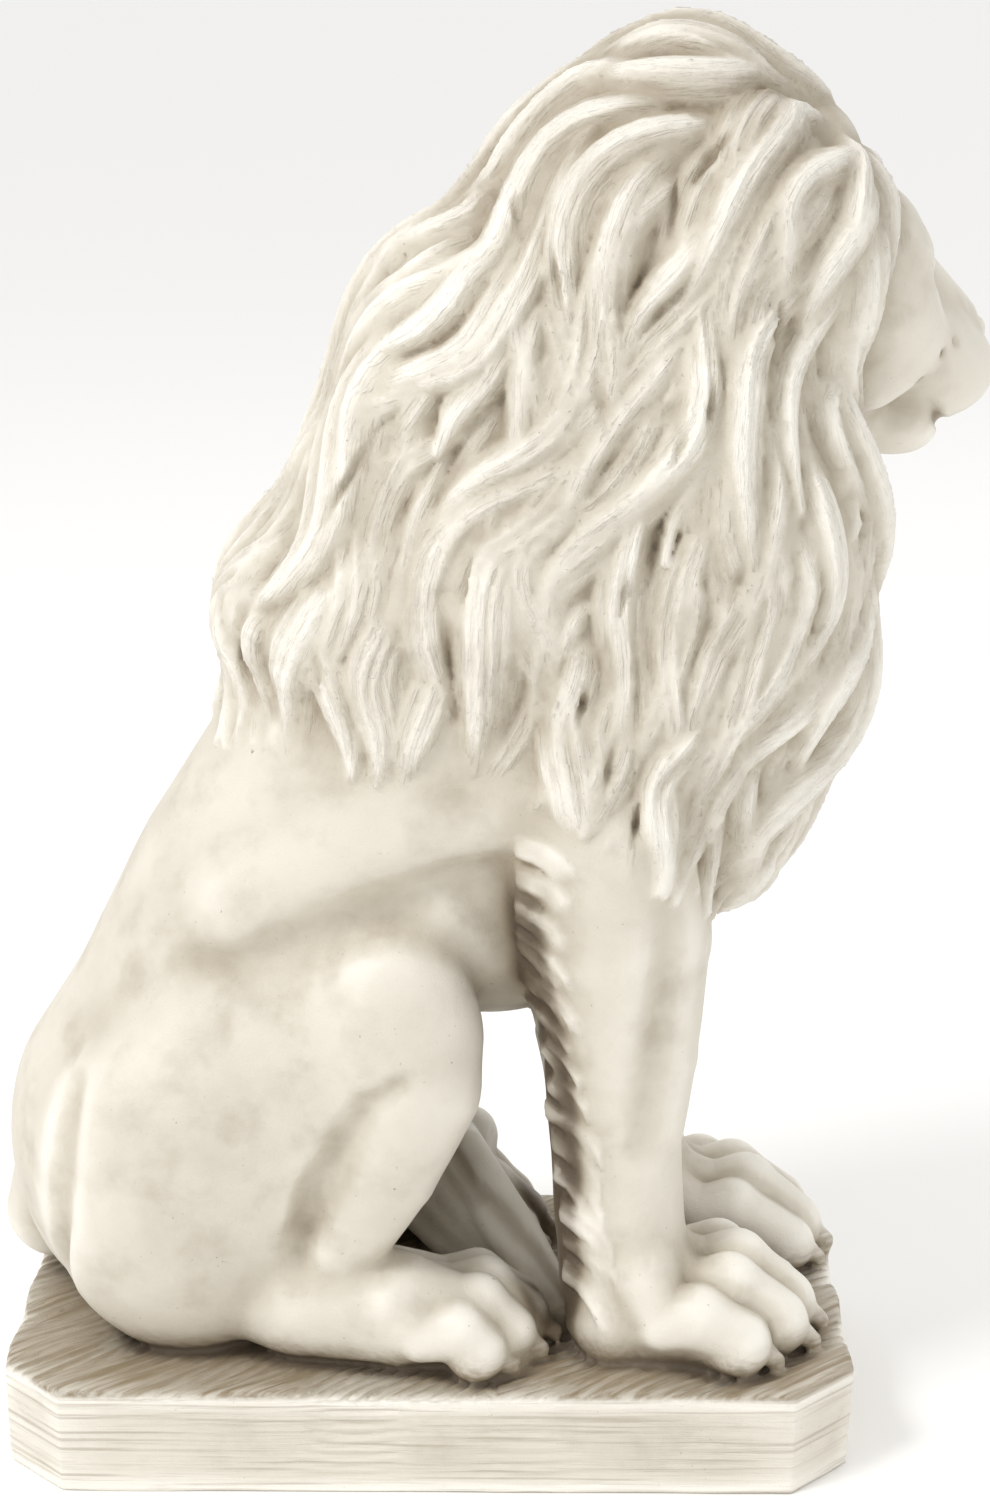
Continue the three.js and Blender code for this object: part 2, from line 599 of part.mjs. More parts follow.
// Thin a closed mesh to a number of facets: again and again the edge goes whose
// loss moves the surface least, measured by the planes that meet at its ends.
function thin({ points, triangles }, target) {
  const count = points.length / 3;
  const planes = new Float64Array(count * 10);
  const around = Array.from({ length: count }, () => []);
  const ages = new Int32Array(count);
  const alive = new Uint8Array(triangles.length / 3).fill(1);
  let left = alive.length;

  const normalOf = (t, moved, to) => {
    const at = (k) => {
      const v = triangles[3 * t + k];
      return moved.includes(v) ? to : [points[3 * v], points[3 * v + 1], points[3 * v + 2]];
    };
    const [a, b, c] = [at(0), at(1), at(2)];
    const [ux, uy, uz] = [b[0] - a[0], b[1] - a[1], b[2] - a[2]];
    const [vx, vy, vz] = [c[0] - a[0], c[1] - a[1], c[2] - a[2]];
    return [uy * vz - uz * vy, uz * vx - ux * vz, ux * vy - uy * vx];
  };

  for (let t = 0; t < alive.length; t += 1) {
    const n = normalOf(t, [], null);
    const area = Math.hypot(...n) || 1e-12;
    const [a, b, c] = n.map((v) => v / area);
    const v0 = triangles[3 * t];
    const d = -(a * points[3 * v0] + b * points[3 * v0 + 1] + c * points[3 * v0 + 2]);
    const terms = [a * a, a * b, a * c, a * d, b * b, b * c, b * d, c * c, c * d, d * d];
    for (let k = 0; k < 3; k += 1) {
      const v = triangles[3 * t + k];
      around[v].push(t);
      terms.forEach((term, m) => {
        planes[10 * v + m] += term * area;
      });
    }
  }

  // The best single point for an edge's two ends, and how far it bends the skin.
  const q = new Float64Array(10);
  const errorAt = (x, y, z) => {
    return q[0] * x * x + 2 * q[1] * x * y + 2 * q[2] * x * z + 2 * q[3] * x
      + q[4] * y * y + 2 * q[5] * y * z + 2 * q[6] * y
      + q[7] * z * z + 2 * q[8] * z + q[9];
  };
  const bestPoint = (u, v) => {
    for (let m = 0; m < 10; m += 1) {
      q[m] = planes[10 * u + m] + planes[10 * v + m];
    }
    const c0 = q[4] * q[7] - q[5] * q[5];
    const c1 = q[2] * q[5] - q[1] * q[7];
    const c2 = q[1] * q[5] - q[2] * q[4];
    const det = q[0] * c0 + q[1] * c1 + q[2] * c2;
    const scale = (q[0] + q[4] + q[7]) / 3;
    const mid = [0, 1, 2].map((k) => (points[3 * u + k] + points[3 * v + k]) / 2);
    if (det > 1e-3 * scale ** 3) {
      const x = -(c0 * q[3] + c1 * q[6] + c2 * q[8]) / det;
      const y = -(c1 * q[3] + (q[0] * q[7] - q[2] * q[2]) * q[6]
        + (q[1] * q[2] - q[0] * q[5]) * q[8]) / det;
      const z = -(c2 * q[3] + (q[1] * q[2] - q[0] * q[5]) * q[6]
        + (q[0] * q[4] - q[1] * q[1]) * q[8]) / det;
      const span = Math.hypot(...[0, 1, 2].map((k) => points[3 * u + k] - points[3 * v + k]));
      if (Math.hypot(x - mid[0], y - mid[1], z - mid[2]) < 1.5 * span) {
        return [errorAt(x, y, z), x, y, z];
      }
    }
    const ends = [u, v].map((w) => [points[3 * w], points[3 * w + 1], points[3 * w + 2]]);
    const choices = [mid, ...ends].map((p) => [errorAt(...p), ...p]);
    return choices.sort((a, b) => a[0] - b[0])[0];
  };

  const heap = new EdgeHeap();
  const offer = (u, v) => {
    const dx = points[3 * u] - points[3 * v];
    const dy = points[3 * u + 1] - points[3 * v + 1];
    const dz = points[3 * u + 2] - points[3 * v + 2];
    const [error] = bestPoint(u, v);
    heap.push([error + 1e-4 * (dx * dx + dy * dy + dz * dz), u, v, ages[u] + ages[v]]);
  };
  for (let t = 0; t < alive.length; t += 1) {
    for (let k = 0; k < 3; k += 1) {
      const [u, v] = [triangles[3 * t + k], triangles[3 * t + ((k + 1) % 3)]];
      if (u < v) offer(u, v);
    }
  }

  const neighbours = (v) => {
    const found = new Set();
    for (const t of around[v]) {
      for (let k = 0; k < 3; k += 1) {
        found.add(triangles[3 * t + k]);
      }
    }
    found.delete(v);
    return found;
  };
  const folds = (u, v, to) => {
    for (const w of [u, v]) {
      for (const t of around[w]) {
        const ids = [triangles[3 * t], triangles[3 * t + 1], triangles[3 * t + 2]];
        if (ids.includes(u) && ids.includes(v)) continue;
        const before = normalOf(t, [], null);
        const after = normalOf(t, [w], to);
        const dot = before[0] * after[0] + before[1] * after[1] + before[2] * after[2];
        const size = Math.hypot(...before) * Math.hypot(...after);
        if (dot < 0.25 * size || Math.hypot(...after) < 1e-3) return true;
      }
    }
    return false;
  };

  while (left > target && heap.items.length > 0) {
    const [, u, v, age] = heap.pop();
    if (around[u] === null || around[v] === null || age !== ages[u] + ages[v]) continue;
    const nearU = neighbours(u);
    const nearV = neighbours(v);
    if (!nearU.has(v)) continue;
    let shared = 0;
    for (const w of nearU) {
      if (nearV.has(w)) {
        shared += 1;
      }
    }
    if (shared !== 2) continue;
    const to = bestPoint(u, v).slice(1);
    if (folds(u, v, to)) continue;
    const kept = [];
    for (const t of new Set([...around[u], ...around[v]])) {
      const ids = [triangles[3 * t], triangles[3 * t + 1], triangles[3 * t + 2]];
      if (ids.includes(u) && ids.includes(v)) {
        alive[t] = 0;
        left -= 1;
        for (const w of ids) {
          if (w !== u && w !== v) around[w] = around[w].filter((s) => s !== t);
        }
      } else {
        ids.forEach((id, k) => {
          if (id === v) {
            triangles[3 * t + k] = u;
          }
        });
        kept.push(t);
      }
    }
    around[u] = kept;
    around[v] = null;
    for (let k = 0; k < 3; k += 1) {
      points[3 * u + k] = to[k];
    }
    for (let m = 0; m < 10; m += 1) {
      planes[10 * u + m] += planes[10 * v + m];
    }
    ages[u] += ages[v] + 1;
    for (const w of neighbours(u)) offer(u, w);
  }

  // Number the points that are left, and turn the shares into millimetres.
  const numbers = new Map();
  const outPoints = [];
  const outTriangles = [];
  for (let t = 0; t < alive.length; t += 1) {
    if (!alive[t]) continue;
    for (let k = 0; k < 3; k += 1) {
      const v = triangles[3 * t + k];
      if (!numbers.has(v)) {
        numbers.set(v, numbers.size);
        outPoints.push(points[3 * v], points[3 * v + 1], points[3 * v + 2]);
      }
      outTriangles.push(numbers.get(v));
    }
  }
  return { points: outPoints, triangles: outTriangles };
}

// The plinth: an oblong with cut corners, its sides combed with level grooves.
function plinthMesh() {
  const ring = (inset, z) => {
    const x = PLINTH_LENGTH / 2 - inset;
    const y = PLINTH_WIDTH / 2 - inset;
    const c = CORNER_CUT - inset * (2 - Math.SQRT2);
    return [
      [x, c - y, z], [x, y - c, z], [x - c, y, z], [c - x, y, z],
      [-x, y - c, z], [-x, c - y, z], [c - x, -y, z], [x - c, -y, z],
    ];
  };
  const rings = [ring(PLINTH_DRAFT, 0)];
  const grooves = Math.floor((PLINTH_HEIGHT - 4) / GROOVE_PITCH);
  for (let i = 0; i < grooves; i += 1) {
    const z = 2 + GROOVE_PITCH * (i + 0.5);
    const lean = PLINTH_DRAFT * (1 - z / PLINTH_HEIGHT);
    const depth = GROOVE_DEPTH * mix(0.6, 1.2, scatter(i + 0.5));
    rings.push(ring(lean, z - GROOVE_PITCH * 0.3), ring(lean + depth, z));
    rings.push(ring(lean, z + GROOVE_PITCH * 0.3));
  }
  rings.push(ring(0, PLINTH_HEIGHT));
  const points = rings.flat(2);
  const triangles = [];
  const sides = 8;
  for (let r = 0; r + 1 < rings.length; r += 1) {
    for (let i = 0; i < sides; i += 1) {
      const a = r * sides + i;
      const b = r * sides + ((i + 1) % sides);
      triangles.push(a, b, b + sides, a, b + sides, a + sides);
    }
  }
  const last = (rings.length - 1) * sides;
  for (let i = 1; i + 1 < sides; i += 1) {
    triangles.push(0, i + 1, i, last, last + i, last + i + 1);
  }
  return { points, triangles };
}

const wasm = await Module();
wasm.setup();

const solid = ({ points, triangles }) => new wasm.Manifold(new wasm.Mesh({
  numProp: 3,
  vertProperties: new Float32Array(points),
  triVerts: new Uint32Array(triangles),
}));

const lion = thin(skin(pressClay(CELL)), FIGURE_FACETS);
for (let i = 0; i < lion.points.length; i += 1) {
  lion.points[i] = lion.points[i] * SHARE + (i % 3 === 2 ? PLINTH_HEIGHT : 0);
}
const statue = solid(lion).add(solid(plinthMesh())).getMesh();

const geometry = new THREE.BufferGeometry();
geometry.setAttribute('position', new THREE.BufferAttribute(new Float32Array(statue.vertProperties), 3));
geometry.setIndex(new THREE.BufferAttribute(new Uint32Array(statue.triVerts), 1));
geometry.computeVertexNormals();

const castStone = new THREE.MeshStandardMaterial({ color: '#e6dfd0', roughness: 0.55, metalness: 0 });
const body = new THREE.Mesh(geometry, castStone);
body.name = 'lion_statue';

const part = new THREE.Group();
part.add(body);

export default part;
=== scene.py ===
# %% [markdown]
# # A seated lion, cast in resin stone
# The real statue is one hollow casting: lion and plinth came out of one rubber mould, a
# mixture of polyester resin and stone powder. The model follows that. All forms are pressed
# together like clay on a fine grid of distances, the locks of the mane are combed over it,
# and one closed skin is taken off the grid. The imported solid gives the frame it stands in.

import math

import bmesh
import bpy
import numpy as np
import openvdb
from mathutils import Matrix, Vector


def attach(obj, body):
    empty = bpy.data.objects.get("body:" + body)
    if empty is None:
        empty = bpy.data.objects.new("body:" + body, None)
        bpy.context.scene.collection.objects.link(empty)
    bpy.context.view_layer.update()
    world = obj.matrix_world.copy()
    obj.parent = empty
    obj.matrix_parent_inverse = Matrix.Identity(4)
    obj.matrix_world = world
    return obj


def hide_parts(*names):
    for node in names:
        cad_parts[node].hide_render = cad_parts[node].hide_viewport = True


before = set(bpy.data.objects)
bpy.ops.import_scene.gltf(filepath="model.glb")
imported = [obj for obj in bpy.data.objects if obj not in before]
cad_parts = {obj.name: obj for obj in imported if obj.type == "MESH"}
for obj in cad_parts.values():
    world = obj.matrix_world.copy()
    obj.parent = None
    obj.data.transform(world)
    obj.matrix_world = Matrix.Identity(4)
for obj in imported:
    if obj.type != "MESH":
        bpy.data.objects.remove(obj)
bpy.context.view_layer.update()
NODE = "lion_statue"

# %% [markdown]
# ## Sizes
# Every size of the plinth is a real one in metres. The figure is given in hundredths of its
# own height, from the middle of the plinth's top: x forward, y to the lion's left, z up.
# A sculptor's proportions are kept this way, and one value sets how large the lion is.

# %% Sizes of the casting
FIGURE_HEIGHT = 0.636
PLINTH_LENGTH = 0.412
PLINTH_WIDTH = 0.228
PLINTH_HEIGHT = 0.053
CORNER_CUT = 0.0304
SHARE = FIGURE_HEIGHT / 100
GRAIN = 0.00155
CELL = GRAIN / SHARE
MOST_FACETS = 196000
rng = np.random.default_rng(27)
print("one hundredth of the figure is", round(SHARE * 1000, 2), "mm")

# %% [markdown]
# ## A block of clay
# A distance grid holds, at each point, how far the surface is, negative inside. Two forms
# join where the smaller distance wins, and a rounded minimum leaves the fillet that a thumb
# would. It could be done with metaballs or by sculpting by hand, but the grid gives exact
# forms, crisp overlaps between locks, and a skin that is always closed.

# %% The grid
LOW = np.array([-36.5, -18.6, -PLINTH_HEIGHT / SHARE - 0.6])
HIGH = np.array([45.5, 18.6, 102.0])
SHAPE = np.ceil((HIGH - LOW) / CELL).astype(int) + 1
FAR = 9.0
field = np.full(SHAPE, FAR, np.float32)
owner = np.zeros(SHAPE, np.int32)
axes = [(LOW[k] + CELL * np.arange(SHAPE[k])).astype(np.float32) for k in range(3)]
print("grid", SHAPE, "points", field.size)


def smoothstep(low, high, value):
    t = np.clip((value - low) / (high - low), 0, 1)
    return t * t * (3 - 2 * t)


def mix(a, b, t):
    return a + (b - a) * t


def blend_min(a, b, reach):
    h = np.maximum(reach - np.abs(a - b), 0) / reach
    return np.minimum(a, b) - h * h * (reach / 4)


def wave_noise(x, y, z, size, waves, seed):
    """Even bumps of one size, about one unit high, from a few crossing waves."""
    spin = np.random.default_rng(seed)
    total = 0
    for _ in range(waves):
        way = spin.normal(size=3)
        way *= 2 * math.pi / size * spin.uniform(0.75, 1.35) / np.linalg.norm(way)
        total = total + np.sin(x * way[0] + y * way[1] + z * way[2] + spin.uniform(0, 6.28))
    return total / math.sqrt(waves / 2)


def window(low, high, margin):
    """The part of the grid round a form, as slices, with its coordinates."""
    first = np.clip(((low - margin - LOW) / CELL).astype(int), 0, SHAPE - 1)
    last = np.clip(((high + margin - LOW) / CELL).astype(int) + 2, 1, SHAPE)
    part = tuple(slice(a, b) for a, b in zip(first, last))
    x = axes[0][part[0]][:, None, None]
    y = axes[1][part[1]][None, :, None]
    z = axes[2][part[2]][None, None, :]
    return part, x, y, z


def nearest_cell(points):
    cell = np.rint((points - LOW) / CELL).astype(int)
    return tuple(np.clip(cell, 0, SHAPE - 1).T)


# %% [markdown]
# Two forms are enough for a whole animal: an egg for masses of muscle, and a limb that
# tapers through a chain of stations. Each is a function that gives its distance anywhere.

# %% Eggs and limbs
WORLD = np.eye(3)


def turned_frame(turn, dip):
    forward = np.array([math.cos(turn) * math.cos(dip), math.sin(turn) * math.cos(dip), -math.sin(dip)])
    left = np.array([-math.sin(turn), math.cos(turn), 0.0])
    return np.array([forward, left, np.cross(forward, left)])


def ball(centre, radii, frame_rows=WORLD):
    centre = np.array(centre, float)
    reach = max(radii)

    def distance(x, y, z):
        dx, dy, dz = x - centre[0], y - centre[1], z - centre[2]
        inner = 0
        steep = 0
        for row, radius in zip(frame_rows, radii):
            along = (dx * row[0] + dy * row[1] + dz * row[2]) / radius
            inner = inner + along * along
            steep = steep + (along / radius) ** 2
        inner = np.sqrt(inner)
        return inner * (inner - 1) / np.sqrt(np.maximum(steep, 1e-9))

    return distance, centre - reach, centre + reach


def limb(*stations):
    points = np.array([s[:3] for s in stations], float)
    radii = [s[3] for s in stations]

    def distance(x, y, z):
        best = FAR
        for a, b, ra, rb in zip(points, points[1:], radii, radii[1:]):
            run = b - a
            dx, dy, dz = x - a[0], y - a[1], z - a[2]
            t = np.clip((dx * run[0] + dy * run[1] + dz * run[2]) / (run @ run), 0, 1)
            away = (dx - t * run[0]) ** 2 + (dy - t * run[1]) ** 2 + (dz - t * run[2]) ** 2
            best = np.minimum(best, np.sqrt(away) - (ra + (rb - ra) * t))
        return best

    thick = max(radii)
    return distance, points.min(0) - thick, points.max(0) + thick


def add(form, reach):
    distance, low, high = form
    part, x, y, z = window(low, high, reach + 2 * CELL)
    field[part] = blend_min(field[part], distance(x, y, z), reach)


def cut(form, reach):
    distance, low, high = form
    part, x, y, z = window(low, high, reach + 2 * CELL)
    field[part] = -blend_min(-field[part], distance(x, y, z), reach)


SIDES = (-1, 1)


def side_surface(path, side):
    """The outermost clay seen from one side at each (x, z) of a path."""
    found = []
    for x, z in path:
        column = field[int((x - LOW[0]) / CELL), :, int((z - LOW[2]) / CELL)]
        inside = np.flatnonzero(column < 0)
        y = axes[1][inside[-1 if side > 0 else 0]] if len(inside) else 0.0
        found.append((x, float(y), z))
    return found


def groove(path, widths, sunk_by, reach, side):
    """A soft furrow drawn on the side of the figure, as deep at each place as it is wide."""
    depths = [sunk_by * w / max(widths) - 0.3 * reach * (1 - w / max(widths)) for w in widths]
    places = side_surface(path, side)
    cut(limb(*[(x, y + side * (w - d), z, w) for (x, y, z), w, d in zip(places, widths, depths)]), reach)


def swelling(path, widths, proud, reach, side):
    """A soft ridge drawn on the side of the figure."""
    places = side_surface(path, side)
    add(limb(*[(x, y - side * (w - proud), z, w) for (x, y, z), w in zip(places, widths)]), reach)

# %% [markdown]
# ## The trunk
# The lion sits upright: rump on the plinth, back sloping up at sixty degrees to the withers,
# ribs deep behind the elbows. These masses also carry the mane, so they are kept in a list.

# %% Trunk
TRUNK = [
    ball((-21.7, 0, 12.5), (11, 11, 13.5)),
    limb((-19.8, 0, 16.5, 11.8), (-10.8, 0, 33, 12.5), (-1, 0, 49, 12.0)),
    ball((4.5, 0, 41.2), (14.5, 12, 17)),
    ball((12.5, -6, 45), (8.5, 6.8, 13)),
    ball((12.5, 6, 45), (8.5, 6.8, 13)),
]
for form in TRUNK:
    add(form, 4)
print("trunk pressed")

# %% [markdown]
# ## The haunches
# The hind leg is folded: a broad thigh, a round knee drawn up beside the belly, a shin that
# comes back down to the heel, and the long foot flat on the plinth. The fold between thigh
# and shin is cut as a crease, and a hollow runs along the flank above the thigh.


# %% Haunch
def press_haunch(side):
    run = np.array([17.8, 2.2 * side, 8.6])
    run = run / np.linalg.norm(run)
    across = np.array([0.0, 1.0, 0.0])
    lift = np.cross(run, across)
    thigh = np.array([run, across, lift / np.linalg.norm(lift)])
    add(ball((-18.6, 8.4 * side, 11.8), (10.6, 7.4, 12.6)), 2.6)
    add(ball((-13.5, 9 * side, 19.2), (16, 6.8, 10.8), thigh), 2.2)
    add(ball((-3, 10.8 * side, 25.8), (7.2, 5.6, 8.8)), 1.8)
    add(limb(
        (-0.6, 11.4 * side, 22, 4.7), (-3, 11.8 * side, 15.6, 3.9), (-6.4, 11.6 * side, 9.4, 3.1),
    ), 0.9)
    add(limb((-8.8, 10.8 * side, 4.4, 4.4), (-2.4, 11.9 * side, 4.2, 4.3), (2.2, 12.2 * side, 3.4, 3.4)), 1.2)
    add(limb((-9.4, 10.2 * side, 9.5, 2.2), (-11.4, 10.4 * side, 4, 3.6)), 1.6)
    groove([(-1.4, 24.4), (-4.2, 22.4), (-6.2, 19.0), (-8.6, 15.4), (-9.6, 11.5), (-9.8, 7.0)],
           (0.3, 0.6, 0.75, 0.75, 0.6, 0.3), 0.45, 1.3, side)
    groove([(-18.0, 31.6), (-13.5, 32.2), (-8.6, 34.8), (-3.0, 37.2), (2.5, 39.0), (6.6, 39.4)],
           (0.6, 1.3, 1.8, 2.0, 1.8, 1.3), 0.8, 2.4, side)
    swelling([(-14.0, 36.2), (-7.0, 39.6), (0.0, 42.4), (5.6, 43.0)], (2.4, 3.0, 2.8, 1.8), 0.5, 2.6, side)
    groove([(4.6, 36.6), (6.4, 32.6)], (2.6, 2.0), 1.1, 2.0, side)
    groove([(-26.6, 22.0), (-27.4, 17.0), (-28.0, 12.0), (-28.2, 6.0)], (0.4, 0.7, 0.9, 0.5), 0.3, 2.0, side)


for side in SIDES:
    press_haunch(side)
print("haunches pressed")

# %% [markdown]
# ## Paws
# Each toe leaves the instep, rises to a knuckle and falls to a round pad. The grooves between
# toes come by themselves where neighbouring limbs meet with a small fillet. A blunt claw
# stands out at each tip.


# %% Paws
def press_paw(side, root, toes):
    """A toe is across, knuckle x, knuckle z, tip x and thickness."""
    for across, knuckle_x, knuckle_z, tip_x, thick in toes:
        y = across * side
        slim = thick * 0.96
        top = knuckle_z + thick - slim
        root_y = mix(root[1], across, 0.62) * side
        add(limb(
            (root[0], root_y, root[2] + 0.4, slim * 1.25), (knuckle_x - 2.6, y, top - 0.4, slim * 0.95),
            (knuckle_x, y, top, slim * 1.06),
        ), 0.3)
        add(limb((knuckle_x, y, top, slim), (tip_x - thick, y, thick, slim * 1.02)), 0.5)
        add(ball((tip_x - thick, y, thick * 0.86), (thick * 1.02, slim * 1.12, thick * 0.92)), 0.3)
        add(limb((tip_x - 0.8, y, 1.7, thick * 0.38), (tip_x + 0.4, y, 0.8, thick * 0.28)), 0.3)
    middle = np.mean(toes, 0)
    add(limb(
        (root[0] + 1, root[1] * side, 2.4, 3), (middle[1] - 1, middle[0] * side, 1.6, 2.4),
    ), 0.6)
    add(ball((middle[1] + 1, middle[0] * side, 0.6), (4.2, 4.6, 1.6)), 0.5)


HIND_TOES = [
    (14.7, 2.2, 3.7, 6.0, 2.3), (12, 3.7, 4.4, 8.2, 2.35),
    (9.2, 4.2, 4.6, 9.2, 2.25), (6.5, 3.6, 4.1, 8.6, 2.1),
]
FORE_TOES = [
    (13.7, 20.4, 4.3, 26, 2.5), (10.4, 22.9, 5.2, 29, 2.55),
    (6.9, 23.8, 5.6, 29.9, 2.5), (3.6, 22.5, 5.2, 29, 2.2),
]
for side in SIDES:
    press_paw(side, (-3, 11.6, 4.6), HIND_TOES)
press_paw(-1, (16.5, 8.6, 5.6), FORE_TOES)
press_paw(1, (17.8, 8.6, 5.6), [(a + 0.5, kx + 1.6, kz, tx + 1.8, t) for a, kx, kz, tx, t in FORE_TOES])
print("paws pressed")

# %% [markdown]
# ## The forelegs
# Two straight columns carry the chest. Each has an oval muscle outside the forearm, a soft
# groove down its front edge and a fringe of curled tufts down its back edge.


# %% Foreleg
STRAND_STEP = 0.46


def press_foreleg(side):
    ahead = 0.7 if side > 0 else 0.0
    add(limb(
        (12.8 + ahead, 7.7 * side, 41, 7.5), (14.2 + ahead, 8.3 * side, 33, 7),
        (14.9 + ahead, 8.4 * side, 24, 5.5), (14.8 + ahead, 8.3 * side, 16.5, 4.4),
        (15.1 + ahead, 8.3 * side, 10.5, 4.4), (15.6 + ahead, 8.4 * side, 3.6, 4.8),
    ), 1.6)
    add(ball((14.2 + ahead, 11.6 * side, 31), (3.6, 3.2, 8.5)), 2)
    groove([(18.2 + ahead, 36), (17.8 + ahead, 31), (17.0 + ahead, 25), (16.4 + ahead, 18)],
           (0.4, 0.9, 0.9, 0.4), 0.3, 2.6, side)
    add(ball((13.6 + ahead, 9.8 * side, 11.2), (3.2, 2.6, 2.2)), 1.6)
    add(limb((15.4 + ahead, 9.6 * side, 2.6, 4.6), (21.4 + ahead, 11.4 * side, 1.8, 3.0)), 1.2)
    add(limb(
        (11.4 + ahead, 8.8 * side, 5, 1.4), (10.6 + ahead, 9.0 * side, 20, 1.6),
        (9.2 + ahead, 10.8 * side, 43, 1.8),
    ), 1)
    tufts = []
    z = 6.0
    while z < 41.5:
        back = ahead + mix(10.6, 6.9, smoothstep(6, 36, z)) + rng.uniform(-0.3, 0.3)
        wide = rng.uniform(3.2, 4.4)
        drop = mix(3.6, 2.0, smoothstep(24, 40, z)) * rng.uniform(0.8, 1.2)
        strands = int(rng.integers(3, 5))
        for strand in range(strands):
            path = []
            for t in (0.0, 0.25, 0.5, 0.75, 1.0):
                turn = 0.5 * math.pi * t
                out = wide * (0.7 + 0.3 * strand / (strands - 1)) * math.sin(turn)
                root = z + STRAND_STEP * strand * (1 - 0.35 * t)
                path.append((back + out, root - drop * (1 - math.cos(turn))))
            tufts.append((side_surface(path, side), rng.uniform(0.85, 1.1)))
        z += STRAND_STEP * strands + rng.uniform(0.8, 1.3)
    for places, thick in tufts:
        widths = (0.55, 0.6, 0.55, 0.45, 0.2)
        add(limb(*[
            (x, y + side * 0.12, z, w * thick) for (x, y, z), w in zip(places, widths)
        ]), 0.12)


for side in SIDES:
    press_foreleg(side)
print("forelegs pressed")

# %% [markdown]
# ## The tail
# The tail leaves the rump, lies along the foot of the left haunch, climbs over the left hind
# paw and ends in a tuft that hangs between the feet. The tuft is combed from long strands.

# %% Tail
add(limb(
    (-27.2, 1, 15.5, 5), (-30.4, 3, 5.6, 4), (-26.2, 9.6, 3, 2.9), (-15, 14.4, 2.2, 2.3), (-4, 15, 3.4, 2.2),
    (2.6, 11.5, 8.2, 2.3),
), 1.2)
add(limb(
    (2.6, 11.5, 8.2, 2.3), (2.6, 5, 7.6, 1.6), (4.6, 0.5, 6, 1.7), (7.4, -3.4, 3, 1.5), (10, -6, 0.6, 1.0),
), 0.8)
TUFT = [
    [(2.4, 9.5, 9.6), (3.0, 5.2, 10.2), (4.9, 1.6, 8.4),
     (7.6, -1.2, 5.2), (10.2, -3.6, 1.6), (11.4, -5.4, 0.4)],
    [(-4.4, 8.2, 5.0), (-1.8, 4.4, 4.2), (1.2, 1.0, 3.0),
     (4.2, -2.2, 1.8), (7.0, -4.8, 0.8), (9.6, -6.6, 0.0)],
]
for strand in range(15):
    share = strand / 14
    bend = 0.35 * math.sin(strand * 2.3)
    stations = []
    for number, (high, low) in enumerate(zip(*TUFT)):
        place = [mix(a, b, share) for a, b in zip(high, low)]
        thick = (0.8, 1.05, 1.15, 1.1, 0.85, 0.3)[number] * (1 + 0.2 * math.sin(strand * 1.9))
        stations.append((place[0], place[1] + bend, place[2] + bend * (number > 0), thick))
    add(limb(*stations), 0.12)
print("tail pressed")

# %% [markdown]
# ## The face
# The head is turned a third of the way to the left and dipped. It has its own frame, with
# forward, left and up along the skull, so that brows, eyes, nose, whisker pads and jaw are
# placed as they lie on any lion and only two angles pose them.

# %% Face
HEAD_PLACE = np.array([27, 4.5, 83.5])
HEAD = turned_frame(math.radians(33), math.radians(12))


def in_head(a, b, c):
    return HEAD_PLACE + np.array([a, b, c]) @ HEAD


def head_ball(place, radii):
    return ball(in_head(*place), radii, HEAD)


def head_limb(*stations):
    return limb(*[(*in_head(*s[:3]), s[3]) for s in stations])


def meet(target, way):
    """Where the clay is first met on the way in toward a place in the skull."""
    out = 12.0
    while out > 0 and field[nearest_cell(in_head(*(target + out * way))[None])][0] > 0:
        out -= 0.1
    return target + out * way


def press_eye(side):
    """An almond in a hollow, with a heavy upper lid and a thin lower one drawn over its rim."""
    way = np.array([0.75, 0.62 * side, 0.2])
    way = way / np.linalg.norm(way)
    outward = np.array([-way[1], way[0], 0]) * side
    outward = outward / np.linalg.norm(outward)
    rows = np.array([way, outward, np.cross(way, outward) * side]) @ HEAD
    skin = in_head(*meet(np.array([5.6, 1.7 * side, -2.3]), way))

    def beside(out, across, up):
        return skin + np.array([out, across, up]) @ rows

    cut(ball(beside(0.1, 0, 0), (1.3, 2.1, 1.35), rows), 0.7)
    add(ball(beside(-0.8, -0.1, -0.1), (1.1, 2.1, 1.15), rows), 0.12)
    cut(ball(beside(0.4, -0.1, -0.1), (0.35, 0.42, 0.42), rows), 0.12)
    upper = ((0.1, -2.2, -0.8, 0.3), (0.3, -1.1, 0.6, 0.5), (0.2, 0.1, 1.1, 0.55), (-0.2, 1.3, 0.8, 0.5),
             (-0.8, 2.2, -0.1, 0.3))
    lower = ((0.3, -2.2, -0.9, 0.3), (0.3, -0.9, -1.2, 0.4), (0.1, 0.5, -1.25, 0.42), (-0.6, 2.1, -0.3, 0.3))
    for lid in (upper, lower):
        add(limb(*[(*beside(*place), thick) for *place, thick in lid]), 0.2)


def face_line(path, widths, reach):
    """A furrow half sunk into the front of the face, through places across and up."""
    places = [meet(np.array([9, b, c]), np.array([1, 0, 0])) for b, c in path]
    cut(head_limb(*[(*place, w) for place, w in zip(places, widths)]), reach)


WHISKER_PITS = [(12.0, -5.8), (10.4, -6.8)]


